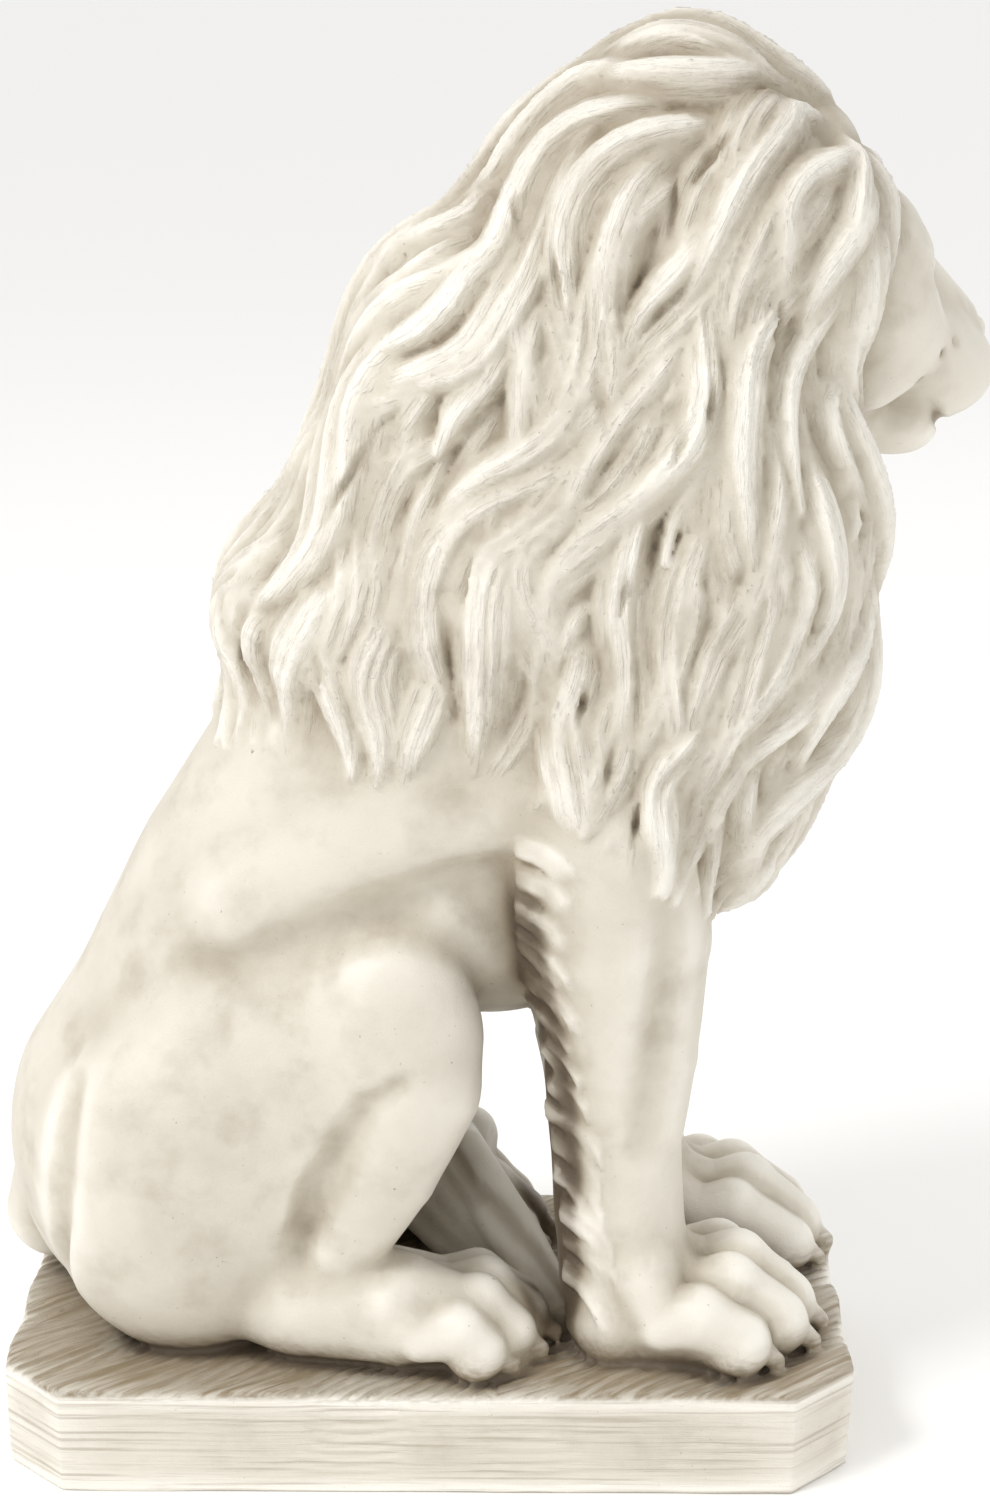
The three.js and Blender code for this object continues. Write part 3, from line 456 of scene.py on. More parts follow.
def press_face():
    add(head_ball((-0.8, 0, -1.4), (8.8, 8.6, 8.8)), 2)
    add(head_limb((7, 0, -0.2, 3.4), (11, 0, -2.2, 3.2), (16.2, 0, -4.7, 2.7)), 1.6)
    add(head_ball((13.4, 0, -8), (5.2, 4.5, 4.3)), 1.8)
    add(head_limb((5, 0, -11, 4.2), (11.6, 0, -12.4, 2.6)), 1.4)
    add(head_ball((12.9, 0, -12.6), (3.6, 3.5, 2.5)), 1)
    add(head_ball((13.8, 0, -4.2), (3.2, 2.6, 2.2)), 1.2)
    for side in SIDES:
        add(head_ball((4.4, side * 4, 0), (3.9, 3.4, 4.2)), 1.6)
        add(head_limb(
            (8.6, side * 1.4, 0.8, 0.9), (8.1, side * 3.7, 1.4, 1.1), (6.2, side * 6.4, 0.1, 0.9),
        ), 0.8)
        add(head_ball((4.6, side * 5.6, -5.6), (5.4, 2.5, 6.2)), 3)
        add(head_limb((6, side * 4.9, -5.6, 2.9), (11.6, side * 3.4, -6.8, 2.9)), 2.6)
        add(head_ball((14, side * 2.7, -7.8), (4.9, 3.3, 3.7)), 1.8)
        press_eye(side)
        cut(head_limb(
            (18.2, side * 0.4, -12.9, 0.5), (12.8, side * 4.7, -11.2, 0.45), (9.4, side * 6.6, -9.6, 0.35),
        ), 0.35)
        cut(head_limb((9.6, side * 6.2, -10, 0.2), (8.4, side * 6.6, -7.8, 0.2)), 0.4)
        for a, c in WHISKER_PITS:
            pit = meet(np.array([a, 0, c]), np.array([0, side, 0]))
            cut(head_ball(pit, (0.36, 0.45, 0.32)), 0.3)
    for side in SIDES:
        add(head_limb(
            (18.2, 0, -6.6, 0.8), (18.0, side * 1.2, -4.9, 1.1), (17.2, side * 2.3, -4.5, 0.9),
        ), 0.2)
        face_line([(side * 0.8, -6.4), (side * 1.7, -6.0), (side * 2.7, -5.2)], (0.3, 0.42, 0.2), 0.15)
        face_line([(side * 0.6, -7.6), (side * 1.8, -7.2), (side * 3.3, -5.6)], (0.2, 0.2, 0.15), 0.3)
    face_line([(0, -7.0), (0, -9.0), (0, -10.8)], (0.3, 0.35, 0.4), 0.35)
    face_line([(0, 5.2), (0, 3.2)], (0.15, 0.2), 1.4)


press_face()
print("face pressed")

# %% [markdown]
# ## The mane
# Under the hair the mane is a few large eggs: ruff, crown, nape, flanks and breast. They give
# the outline. The hair is then laid over them as hundreds of locks, because an engraved
# pattern would not overlap or throw the shadows that a carved mane does.

# %% Masses of the mane
SKIN_UNDER_LOCKS = 1.3
MANE = [
    head_ball((-3.2, 0, -1.6), (6.2, 10.6, 12.6)),
    head_ball((-1.9, 0, 6.4), (4.4, 7, 4.2)),
    ball((18.4, 0.5, 84.8), (14.6, 11.2, 11.4)),
    ball((18.1, 0.5, 90.6), (8, 8.4, 8.5)),
    ball((5.9, 0, 74), (12, 11.8, 12.2)),
    ball((17, 0, 71), (12, 12.2, 12)),
    ball((9.8, 0, 60), (21.2, 13, 20)),
    ball((-3.4, 0, 56.5), (12.3, 11.4, 8.6)),
    ball((22.3, 0, 62), (11.2, 11.8, 12.5)),
    ball((17.2, 0, 48), (12.6, 11.8, 15.2)),
    ball((15, 0, 50.5), (11, 13, 9)),
    ball((22, 0, 52), (10.4, 10, 9)),
    ball((19, 0, 41), (8.8, 8.5, 9)),
]
SHOULDERS = [
    limb((12.8, 7.7 * side, 41, 7.6), (14.2, 8.3 * side, 33, 7.1)) for side in SIDES
]
print(len(MANE), "masses of mane")


def coat_distance(p):
    """The mane's masses with trunk and shoulders under them, at points given as rows."""
    d = np.full(len(p), FAR)
    for distance, _, _ in MANE:
        d = blend_min(d, distance(p[:, 0], p[:, 1], p[:, 2]), 3)
    for distance, _, _ in TRUNK + SHOULDERS:
        d = blend_min(d, distance(p[:, 0], p[:, 1], p[:, 2]), 2)
    return d


def coat_normal(p):
    e = 0.3
    steps = [coat_distance(p + e * WORLD[k]) - coat_distance(p - e * WORLD[k]) for k in range(3)]
    normal = np.stack(steps, 1)
    return normal / np.linalg.norm(normal, axis=1, keepdims=True)


def on_face(p):
    a, b, c = ((p - HEAD_PLACE) @ HEAD.T).T
    return (a > 3.2) & (np.abs(b) < 8.4) & (c < 5.6) & (c > -15)


# %% [markdown]
# The comb: a few strokes read off the side of the real mane say how far the hair leans from
# straight down there, in degrees, positive toward the back. Between strokes the lean is
# smoothed, and over the crown, where down has no meaning, the hair runs straight back.

# %% Comb
STROKES = np.array([
    (17, 96, 65), (26, 92, 50), (15, 90, 45), (5, 91, 35), (0, 85, 50), (-5, 80, 20),
    (-8, 73, 0), (5, 84, 18), (-2, 75, 55), (10, 78, -5), (13, 83, 38), (22, 86, 4),
    (26, 82, 40), (22, 77, 15), (21, 73, -10), (31, 78, 0), (16, 72, 58), (12, 65, 45),
    (11, 55, -5), (0, 70, 40), (-3, 61, 0), (1, 58, -14), (4, 50, 15), (-12, 61, 32),
    (-15, 52, -10), (-10, 50, -20), (-6, 58, 25), (19, 64, 0), (19, 55, 18), (18, 44, 15),
    (28, 64, 5), (26, 54, 40), (34, 60, 0), (33, 54, 10), (28, 47, 35),
])


def comb_lean(p):
    gaps = (p[:, 0:1] - STROKES[:, 0]) ** 2 + (p[:, 2:3] - STROKES[:, 1]) ** 2
    weight = np.exp(-gaps / 18)
    lean = (weight @ STROKES[:, 2]) / (weight.sum(1) + 1e-9)
    return np.radians(lean) * smoothstep(0.5, 5, np.abs(p[:, 1]))


def comb_direction(p, normal):
    flat = smoothstep(0.55, 0.9, normal[:, 2])[:, None]
    pull = np.hstack([-flat, 0 * flat, flat - 1])
    down = pull - (pull * normal).sum(1, keepdims=True) * normal
    down = down / np.linalg.norm(down, axis=1, keepdims=True)
    back = np.cross(down, normal) * np.where(p[:, 1:2] > 0, -1, 1)
    lean = comb_lean(p)[:, None] * (1 - flat)
    return down * np.cos(lean) + back * np.sin(lean)


HEM = np.array([
    (-16, 47.5), (-12, 47.8), (-6, 47), (0, 46), (6, 45), (11, 43.8), (16, 40), (20, 36.8), (26, 29.5),
])


def hem_height(x):
    return np.interp(x, HEM[:, 0], HEM[:, 1])


print(len(STROKES), "strokes of the comb")

# %% [markdown]
# Roots are set in rows round a line through neck and skull, then up over the crown, as hair
# grows. All locks are traced at once: a step along the comb, a slow sway to either side that
# makes the S of a carved lock, and back onto the coat.


# %% Roots and paths
NECK_RADIUS = 15.5
HEM_RADIUS = 16


def lock_roots(spacing, row_step):
    foot = np.array([12.0, 0, 39])
    top = np.array([18.0, 0, 84])
    length = np.linalg.norm(top - foot)
    up = (top - foot) / length
    ahead = np.array([up[2], 0, -up[0]])
    rows = [(s, 0.0) for s in np.arange(0, length, row_step)]
    rows += [(length, rise) for rise in np.arange(0, 1.5, row_step / 15)]
    roots = []
    for number, (along, rise) in enumerate(rows):
        round_about = 2 * math.pi * NECK_RADIUS * max(math.cos(rise), 0.15)
        count = max(int(round_about / spacing), 3)
        angle = (np.arange(count) + 0.5 * (number % 2) + rng.uniform(-0.3, 0.3, count)) * 2 * math.pi / count
        ray = np.outer(np.cos(angle), ahead) + np.outer(np.sin(angle), (0, 1, 0))
        ray = ray * math.cos(rise) + up * math.sin(rise)
        start = foot + up * along
        reach = np.full(count, 4.0)
        for _ in range(60):
            reach += np.where(coat_distance(start + ray * reach[:, None]) < 0, 0.5, 0)
        place = start + ray * reach[:, None] + np.outer(rng.uniform(-0.35, 0.35, count) * row_step, up)
        roots.append(place)
    roots = np.vstack(roots)
    return roots[~on_face(roots)]


def hem_roots(spacing, above):
    """Roots all round, a little above the hem, so that their tips hang over it."""
    count = int(2 * math.pi * HEM_RADIUS / spacing)
    angle = (np.arange(count) + rng.uniform(-0.3, 0.3, count)) * 2 * math.pi / count
    ray = np.stack([np.cos(angle), np.sin(angle), 0 * angle], 1)
    lift = rng.uniform(above * 0.75, above * 1.25, count)
    place = np.tile((8.0, 0, 46.0), (count, 1))
    for _ in range(6):
        reach = np.full(count, 4.0)
        place[:, :2] = (8.0, 0)
        place[:, 2] = np.interp(8 + 14 * ray[:, 0], HEM[:, 0], HEM[:, 1]) + lift
        for _ in range(80):
            reach += np.where(coat_distance(place + ray * reach[:, None]) < 0, 0.4, 0)
        place = place + ray * reach[:, None]
    return place[~on_face(place)]


def face_roots(spacing, behind):
    """Roots in a ring round brow and cheeks, where the mane frames the face, or behind it."""
    angle = np.arange(-0.5, 3.7, spacing / 11)
    b = 9.4 * np.cos(angle)
    c = 8.4 * np.sin(angle) - 0.5 + rng.uniform(-0.6, 0.6, len(angle))
    place = HEAD_PLACE + np.stack([3.5 - behind + rng.uniform(-1.5, 0.5, len(angle)), b, c], 1) @ HEAD
    for _ in range(4):
        place = place - coat_distance(place)[:, None] * coat_normal(place)
    return place[~on_face(place)]


def trace_locks(roots, run, sway, steps):
    """Places, normals and ways of all locks, step by step, and how many steps hold."""
    count = len(roots)
    run = run * rng.uniform(0.7, 1.3, count)
    swing = rng.uniform(0.4, 1, count) * np.where(rng.random(count) < 0.5, -sway, sway)
    phase = rng.uniform(0, 2 * math.pi, count)
    waves = rng.uniform(0.7, 1.2, count)
    place = roots.copy()
    held = np.full(count, steps)
    path = []
    for step in range(steps):
        normal = coat_normal(place)
        place = place - coat_distance(place)[:, None] * normal
        lost = (place[:, 2] < hem_height(place[:, 0]) - 1.2) | on_face(place)
        held = np.where(lost & (held == steps), step, held)
        way = comb_direction(place, normal)
        aside = np.cross(normal, way)
        t = step / (steps - 1)
        way = way + aside * (swing * np.cos(2 * math.pi * waves * t + phase))[:, None]
        way = way / np.linalg.norm(way, axis=1, keepdims=True)
        path.append((place.copy(), normal, way))
        place = place + way * (run / (steps - 1))[:, None]
    return path, held


# %% [markdown]
# The coat is measured once on the grid. The locks are then raised on it as relief: each one
# says how high the clay stands over the coat, and the highest wins, so that a lock lies over
# its neighbour with a crisp edge and no air under it, as in a mould that has to release.

# %% Coat and relief
coat = np.full(SHAPE, FAR, np.float32)
for forms, reach in ((MANE, 3), (TRUNK + SHOULDERS, 2)):
    for distance, low, high in forms:
        part, x, y, z = window(low, high, reach + 2)
        coat[part] = blend_min(coat[part], distance(x, y, z), reach)
relief = np.full(SHAPE, -SKIN_UNDER_LOCKS, np.float32)
print("coat measured,", int((np.abs(coat) < CELL).sum()), "points on it")

# %% [markdown]
# A lock is a leaf of clay: wide and low, swelling from a sunk root and closing to a pointed
# tip. Its top is fluted as by a gouge, with sharp crests between the flutes. Neighbours rise
# and sink together, which makes the clumps and valleys of the mane. The grid also remembers
# which stretch of which lock lies uppermost, for the finish later on.

# %% Laying locks
stretches = []
FLUTE = 0.3
CREST = 0.3


def lay_stretch(start, end, strands, phase, skew, along, seed):
    """Raise one stretch of a lock. Start and end are place, side, up, half width, rise, level."""
    (a, side_a, up_a, half_a, rise_a, level_a), (b, side_b, up_b, half_b, rise_b, level_b) = start, end
    wide = max(half_a, half_b) * 1.35 + 0.3
    part, x, y, z = window(np.minimum(a, b) - wide, np.maximum(a, b) + wide, 1.0)
    run = b - a
    dx, dy, dz = x - a[0], y - a[1], z - a[2]
    t = np.clip((dx * run[0] + dy * run[1] + dz * run[2]) / (run @ run), 0, 1)
    ex, ey, ez = dx - t * run[0], dy - t * run[1], dz - t * run[2]
    turn = side_b - side_a
    up = (up_a + up_b) / np.linalg.norm(up_a + up_b)
    lateral = ex * (side_a[0] + t * turn[0]) + ey * (side_a[1] + t * turn[1]) + ez * (side_a[2] + t * turn[2])
    off = ex * up[0] + ey * up[1] + ez * up[2]
    half = half_a + t * (half_b - half_a)
    u = lateral / half
    r = np.sqrt(np.maximum(ex * ex + ey * ey + ez * ez - off * off, 0)) / half
    swell = rise_a + t * (rise_b - rise_a)
    lean = u * skew
    slope = np.where(lean > CREST, (lean - CREST) / (1 - CREST), (CREST - lean) / (1 + CREST))
    ends = np.maximum(r * r - u * u, 0)
    top = level_a + t * (level_b - level_a) + swell * (1 - slope ** 1.8 - ends)
    turns = math.pi * strands * u / 2 + phase[0] + (phase[1] - phase[0]) * t
    top = top - FLUTE * np.abs(np.cos(turns)) * np.minimum(half, 1.5)
    top = np.where((r < 1.35) & (np.abs(off) < 2.6), top, -FAR)
    higher = top > relief[part]
    relief[part][higher] = top[higher]
    stretches.append((a, run, side_a, turn, along, seed))
    owner[part][higher] = len(stretches)


def lay_locks(roots, run, half_width, levels, sway, steps=19):
    """Levels are the height of a lock's root and tip over the coat, and how far it may vary."""
    path, held = trace_locks(roots, run, sway, steps)
    count = len(roots)
    widths = half_width * rng.uniform(0.7, 1.35, count)
    strand_counts = rng.integers(3, 6, count)
    seeds = rng.random(count)
    skews = rng.choice((-1, 1), count)
    waves = wave_noise(roots[:, 0], roots[:, 1], roots[:, 2] * 0.6, 11, 8, 5)
    shifts = levels[2] * (rng.uniform(-0.7, 0.7, count) + 0.8 * waves)
    laid = 0
    for number in range(count):
        last = held[number]
        if last < 6:
            continue
        laid += 1
        stations = []
        for step in range(last):
            t = step / (last - 1)
            place, normal, way = (part[number] for part in path[step])
            swell = math.sin(math.pi * (0.03 + 0.97 * t) ** 0.8)
            half = max(widths[number] * mix(0.08, 1, swell), 0.3)
            level = mix(levels[0], levels[1], t) + shifts[number] * math.sin(math.pi * t)
            level -= 1.0 * (1 - min(t / 0.3, 1)) ** 2
            stations.append((place, np.cross(normal, way), normal, half, min(half * 0.62, 1.1), level))
        twist = rng.uniform(-1.5, 1.5)
        along = 0.0
        for start, end in zip(stations, stations[1:]):
            stretch = np.linalg.norm(end[0] - start[0])
            first = twist * along / 6 + seeds[number] * 6
            phase = (first, first + twist * stretch / 6)
            lay_stretch(start, end, strand_counts[number], phase, skews[number], along, seeds[number])
            along += stretch
    print(laid, "locks laid, half width", half_width)


lay_locks(lock_roots(2.8, 6.5), 17, 1.3, (-1.0, -0.9, 0.2), 0.3)
lay_locks(lock_roots(3.8, 6.6), 32, 2.2, (-0.5, -0.1, 0.7), 0.5)
for behind in (9, 6, 3, 0):
    lay_locks(face_roots(2.4, behind), 18, 1.6, (-0.3, 0.2, 0.4), 0.45)
lay_locks(hem_roots(3.0, 12), 17, 1.8, (-0.3, 0.4, 0.4), 0.5)
lay_locks(lock_roots(6.5, 9.0), 24, 1.2, (0.0, 0.2, 0.4), 0.65)


def softened(heights):
    """Each height with a share of its neighbours', as a brush of wet slip leaves clay."""
    for axis in range(3):
        mean = 0.5 * heights
        mean += 0.25 * np.roll(heights, 1, axis)
        mean += 0.25 * np.roll(heights, -1, axis)
        heights = mean
    return heights


relief = 0.5 * relief + 0.5 * softened(relief)
near = coat < 5
field[near] = blend_min(field[near], (coat - relief)[near], 0.3)
print("relief raised to", round(float(relief.max()), 2))

# %% [markdown]
# ## Deep slits
# The carver drove a few deep slits between the locks, and these dark marks are what the eye
# takes as the rhythm of the mane. Each is a narrow wedge cut along the hair, on both sides.

# %% Slits
SLITS = [
    ((9.0, 84.0), (9.6, 79.4), 0.55), ((12.1, 75.6), (12.9, 71.6), 0.6), ((6.3, 87.6), (6.9, 84.4), 0.4),
    ((17.6, 88.8), (17.2, 84.8), 0.45), ((20.3, 75.0), (20.0, 71.2), 0.5), ((18.6, 72.4), (17.5, 69.2), 0.45),
    ((25.0, 80.2), (24.7, 76.0), 0.45), ((-2.8, 71.6), (-7.6, 64.0), 0.5), ((-7.8, 55.8), (-7.4, 52.6), 0.45),
    ((-13.6, 55.0), (-13.2, 52.0), 0.45), ((1.6, 61.6), (0.9, 58.6), 0.4), ((3.4, 62.4), (2.8, 59.2), 0.4),
    ((14.6, 61.8), (14.0, 58.6), 0.4), ((22.8, 62.4), (21.8, 59.2), 0.6), ((11.6, 53.6), (11.0, 50.6), 0.5),
    ((13.4, 48.8), (13.0, 46.0), 0.45), ((15.4, 45.0), (15.0, 42.0), 0.4), ((21.2, 91.6), (18.8, 88.4), 0.5),
]


for side in SIDES:
    for top, foot, thick in SLITS:
        middle = (top[0] * 0.5 + foot[0] * 0.5, top[1] * 0.5 + foot[1] * 0.5)
        groove([top, middle, foot], (0.1, thick * 0.8, 0.12), thick * 1.1, 0.4, side)
print(len(SLITS), "slits a side")

# %% [markdown]
# ## The plinth and the worked surface
# The plinth is a slab with its corners cut off and its sides leaning in a millimetre or two
# toward the foot. It was combed with a toothed tool before moulding: level lines along the
# sides, slanting ones on top. Nothing on the casting is quite smooth, so a faint unevenness
# is pressed in first.


# %% Unevenness
def press_unevenness():
    """Faint bumps of two sizes over everything, in slices to save memory."""
    step = 32
    for first in range(0, SHAPE[0], step):
        part = slice(first, min(first + step, SHAPE[0]))
        x = axes[0][part][:, None, None]
        y = axes[1][None, :, None]
        z = axes[2][None, None, :]
        bumps = 0.006 * wave_noise(x, y, z, 2.4, 7, 11) + 0.02 * wave_noise(x, y, z, 7, 6, 12)
        near = np.abs(field[part]) < 2
        body = owner[part] == 0
        field[part] += np.where(near, bumps * np.where(body, 1.0, 0.35), 0).astype(np.float32)


press_unevenness()
print("surface worked")

# %% Plinth
def press_plinth():
    top = np.array([HIGH[0], HIGH[1], 1.2])
    part, x, y, z = window(LOW, top, 0)
    deep = PLINTH_HEIGHT / SHARE
    lean = 0.25 * np.clip(-z / deep, 0, 1)
    long, wide = PLINTH_LENGTH / 2 / SHARE, PLINTH_WIDTH / 2 / SHARE
    corner = (long + wide - CORNER_CUT / SHARE) / math.sqrt(2)
    uneven = wave_noise(x, y, z, 9, 9, 3)
    combing = 0.5 + 0.5 * np.cos(2 * math.pi * (z + 0.2 * uneven) / 0.95)
    sides = np.maximum(np.abs(x) - long, np.abs(y) - wide)
    sides = np.maximum(sides, (np.abs(x) + np.abs(y)) / math.sqrt(2) - corner)
    sides = sides + lean + 0.15 * combing * (0.8 + 0.5 * uneven) + 0.02
    right_half = smoothstep(4.5, 5.5, x)
    across = mix(0.74 * x - 0.67 * y, 0.52 * x - 0.86 * y, right_half)
    rows = 0.5 + 0.5 * np.cos(2 * math.pi * (across + 0.25 * uneven) / 1.1)
    lid = z + 0.26 * rows * (0.7 + 0.6 * uneven) + 0.08 * uneven
    slab = -blend_min(-sides, -lid, 0.5)
    slab = np.maximum(slab, -z - deep)
    field[part] = blend_min(field[part], slab, 0.9)


press_plinth()
print("plinth pressed")

# %% [markdown]
# ## One skin
# The grid is turned into a closed skin where the distance is nought, then thinned to a number
# of facets that a scene can carry. Thinning takes facets where the form is flat and leaves
# them at locks, eyes and claws. It can part a speck from the skin, and the clay can hold a
# small bubble, so only the largest closed skin is kept.

# %% Skin
def make_skin():
    grid = openvdb.FloatGrid(FAR)
    grid.copyFromArray(field)
    points, _, quads = grid.convertToPolygons(0.0, 0.0)
    places = (points * CELL + LOW) * SHARE
    places[:, 2] += PLINTH_HEIGHT
    mesh = bpy.data.meshes.new("lion_casting")
    mesh.from_pydata(places.tolist(), [], quads[:, ::-1].tolist())
    mesh.validate()
    casting = bpy.data.objects.new("lion_casting", mesh)
    bpy.context.collection.objects.link(casting)
    return casting


casting = make_skin()
print("skin of", len(casting.data.polygons), "faces")


def thin_skin(obj, most):
    obj.data.calc_loop_triangles()
    slim = obj.modifiers.new("thin", "DECIMATE")
    slim.ratio = most / len(obj.data.loop_triangles)
    slim.use_collapse_triangulate = True
    graph = bpy.context.evaluated_depsgraph_get()
    thinned = bpy.data.meshes.new_from_object(obj.evaluated_get(graph))
    obj.modifiers.clear()
    obj.data = thinned
    thinned.shade_smooth()


thin_skin(casting, MOST_FACETS)
print("thinned to", len(casting.data.polygons), "facets")


# %% Crumbs
def edge_ends(mesh):
    ends = np.empty(len(mesh.edges) * 2, np.int32)
    mesh.edges.foreach_get("vertices", ends)
    return ends.reshape(-1, 2).T


def joined_points(mesh):
    """A number for each point, the same for all points that edges join to it."""
    a, b = edge_ends(mesh)
    label = np.arange(len(mesh.vertices))
    while True:
        lower = label.copy()
        np.minimum.at(lower, a, label[b])
        np.minimum.at(lower, b, label[a])
        lower = lower[lower]
        if np.array_equal(lower, label):
            return label
        label = lower


def drop_crumbs(mesh):
    """Keep the largest closed skin, and drop the specks of clay and bubbles beside it."""
    label = joined_points(mesh)
    largest = np.bincount(label).argmax()
    shell = bmesh.new()
    shell.from_mesh(mesh)
    crumbs = [point for point in shell.verts if label[point.index] != largest]
    bmesh.ops.delete(shell, geom=crumbs, context="VERTS")
    shell.to_mesh(mesh)
    shell.free()
    print("dropped", len(crumbs), "points of crumbs,", len(mesh.polygons), "facets left")


drop_crumbs(casting.data)

# %% [markdown]
# ## What the surface knows
# Resin stone darkens in its hollows: the mould leaves a thin antique wash there, and dust
# settles. So each point of the skin is given how deep in a hollow it lies, at three widths,
# by blurring the grid's solid part and reading it at the surface. The widest of the three is
# also used for painted shade in the deepest recesses, and the middle one for painted shade
# where the figure meets the plinth. Points on the mane also get their place across and along
# their own lock.


# %% Hollows
def blurred(solid, half):
    """Mean over a box of that many cells to each side, one axis after another."""
    out = solid
    for axis in range(3):
        before = np.repeat(np.take(out, [0], axis), half + 1, axis)
        after = np.repeat(np.take(out, [-1], axis), half, axis)
        padded = np.concatenate([before, out, after], axis)
        sums = np.cumsum(padded, axis, dtype=np.float32)
        count = out.shape[axis]
        upper = np.take(sums, range(2 * half + 1, 2 * half + 1 + count), axis)
        lower = np.take(sums, range(count), axis)
        out = (upper - lower) / (2 * half + 1)
    return out


def grid_places(mesh):
    places = np.empty(len(mesh.vertices) * 3, np.float32)
    mesh.vertices.foreach_get("co", places)
    places = places.reshape(-1, 3)
    places[:, 2] -= PLINTH_HEIGHT
    return places / SHARE


def read_between(grid, points):
    """A grid's value between its points, weighted by nearness to the eight around."""
    place = np.clip((points - LOW) / CELL, 0, SHAPE - 1.001)
    corner = place.astype(int)
    share = place - corner
    total = np.zeros(len(points))
    for i, j, k in np.ndindex(2, 2, 2):
        step = np.array([i, j, k])
        weight = np.where(step, share, 1 - share).prod(1)
        total += weight * grid[tuple((corner + step).T)]
    return total


def give(mesh, name, values, kind="FLOAT", field_name="value"):
    attribute = mesh.attributes.new(name, kind, "POINT")
    attribute.data.foreach_set(field_name, np.ascontiguousarray(values, np.float32).ravel())


def evened(mesh, values):
    """Each point's value with a share of its neighbours', so that no facet shows in the wash."""
    a, b = edge_ends(mesh)
    for _ in range(3):
        total = np.bincount(a, values[b], len(values)) + np.bincount(b, values[a], len(values))
        count = np.bincount(a, minlength=len(values)) + np.bincount(b, minlength=len(values))
        values = 0.5 * values + 0.5 * total / count
    return values


def mark_hollows(mesh):
    points = grid_places(mesh)
    solid = np.clip(0.5 - field / (2 * CELL), 0, 1)
    for name, half in (("hollow_fine", 2), ("hollow_lock", 5), ("hollow_deep", 12)):
        values = evened(mesh, read_between(blurred(solid, half), points))
        give(mesh, name, values)
        print(name, "percentiles", np.percentile(values, (5, 25, 50, 75, 95)).round(2))


mark_hollows(casting.data)


# %% Place on the lock
def mark_locks(mesh):
    points = grid_places(mesh)
    number = owner[nearest_cell(points)]
    start = np.array([s[0] for s in stretches])
    run = np.array([s[1] for s in stretches])
    side = np.array([s[2] for s in stretches])
    turn = np.array([s[3] for s in stretches])
    length = np.array([s[4] for s in stretches])
    seed = np.array([s[5] for s in stretches])
    pick = np.maximum(number - 1, 0)
    away = points - start[pick]
    t = np.clip((away * run[pick]).sum(1) / (run[pick] ** 2).sum(1), 0, 1)
    off = away - t[:, None] * run[pick]
    across = (off * (side[pick] + t[:, None] * turn[pick])).sum(1)
    along = length[pick] + t * np.linalg.norm(run[pick], axis=1)
    hair = (number > 0).astype(np.float32)
    comb = np.stack([across * SHARE, along * SHARE, seed[pick]], 1)
    give(mesh, "comb", comb * hair[:, None], "FLOAT_VECTOR", "vector")
    a, b = edge_ends(mesh)
    other = seed[pick][a] != seed[pick][b]
    on_border = np.bincount(a, other, len(hair)) + np.bincount(b, other, len(hair)) > 0
    give(mesh, "hair", hair * ~on_border)
    print(int(hair.sum()), "of", len(hair), "points lie on locks")


mark_locks(casting.data)


# %% Where wash and painted shade were laid
def mark_wash_and_shade(mesh):
    """How much darkening is laid on, from 0 to 1: painted shade on the tail tuft, wash and painted shade in
    the fringes, and more towards the top of the crown.
    """
    points = grid_places(mesh)
    left = np.zeros(len(points))
    # Painted shade at half strength on the tail tuft, which hangs in the shade between the feet.
    for line in TUFT:
        strand = limb(*[(*place, 0.5) for place in line])[0]
        left = np.maximum(left, 0.5 * (1 - smoothstep(0.5, 3.5, strand(*points.T))))
    # The foreleg fringes: wash plus painted shade in the gaps between the tufts, full below the elbow.
    below_elbow = 1 - smoothstep(34, 43, points[:, 2])
    for side in SIDES:
        back_edge = limb((10, 9 * side, 4, 2), (9, 10 * side, 20, 2), (7.4, 12 * side, 43, 1.2))[0]
        left = np.maximum(left, (1 - smoothstep(0, 3, back_edge(*points.T))) * mix(0.35, 1, below_elbow))
    # Darker towards the top of the crown.
    left = np.maximum(left, 0.5 * smoothstep(76, 94, points[:, 2]))
    give(mesh, "wash_and_shade_left", left)
    print("wash left on", int((left > 0.3).sum()), "points")


mark_wash_and_shade(casting.data)

# %% [markdown]
# ## The finish
# Antique ivory: pale warm stone on the ridges, a brown-grey wash rubbed off the high parts
# and left in the hollows. Shade is painted in as well: in the deepest folds, on the tail tuft,
# in the fringes and where the figure meets the plinth. The polish is waxy, not glossy. The
# finish could be painted as a picture, but worked out from the form it fits every fold and
# stays sharp at any distance.

# %% Colours and nodes
def linear(hex_colour):
    """A colour in sRGB hex as linear values."""
    parts = [int(hex_colour[k:k + 2], 16) / 255 for k in (1, 3, 5)]
    return [(c / 12.92 if c <= 0.04045 else ((c + 0.055) / 1.055) ** 2.4) for c in parts] + [1.0]


def add_node(tree, kind, settings=(), **links):
    """One node with its settings; a link is a value or another node's socket."""
    made = tree.nodes.new(kind)
    for name, value in dict(settings).items():
        setattr(made, name, value)
    for name, value in links.items():
        place = int(name[1:]) if name[1:].isdigit() else name.replace("_", " ")
        if isinstance(value, bpy.types.NodeSocket):
            tree.links.new(value, made.inputs[place])
        else:
            made.inputs[place].default_value = value
    return made


IVORY = linear("#F7F3E9")
STONE = linear("#D3CCBD")
# The wash colour is the brown-grey wash, and is also laid as painted shade on the tail tuft and in the
# fringes.
WASH_AND_SHADE = linear("#8F8068")
# The darkest colour marks dark specks and the darkest wash, and is also laid as painted shade in the deepest
# folds, in the fringes and where the figure meets the plinth.
DARK_BROWN_AND_SHADE = linear("#574B3D")
print("colours: ivory, stone, wash and soot")

# %% [markdown]
# What the finish reads: the hollows and the combing measured above, the height, and noises of
# a real size. Streaks lie level round the plinth, brush marks slant over its top, and strands
# run along each lock. The finest ones are drawn a little coarser than they are, to show.

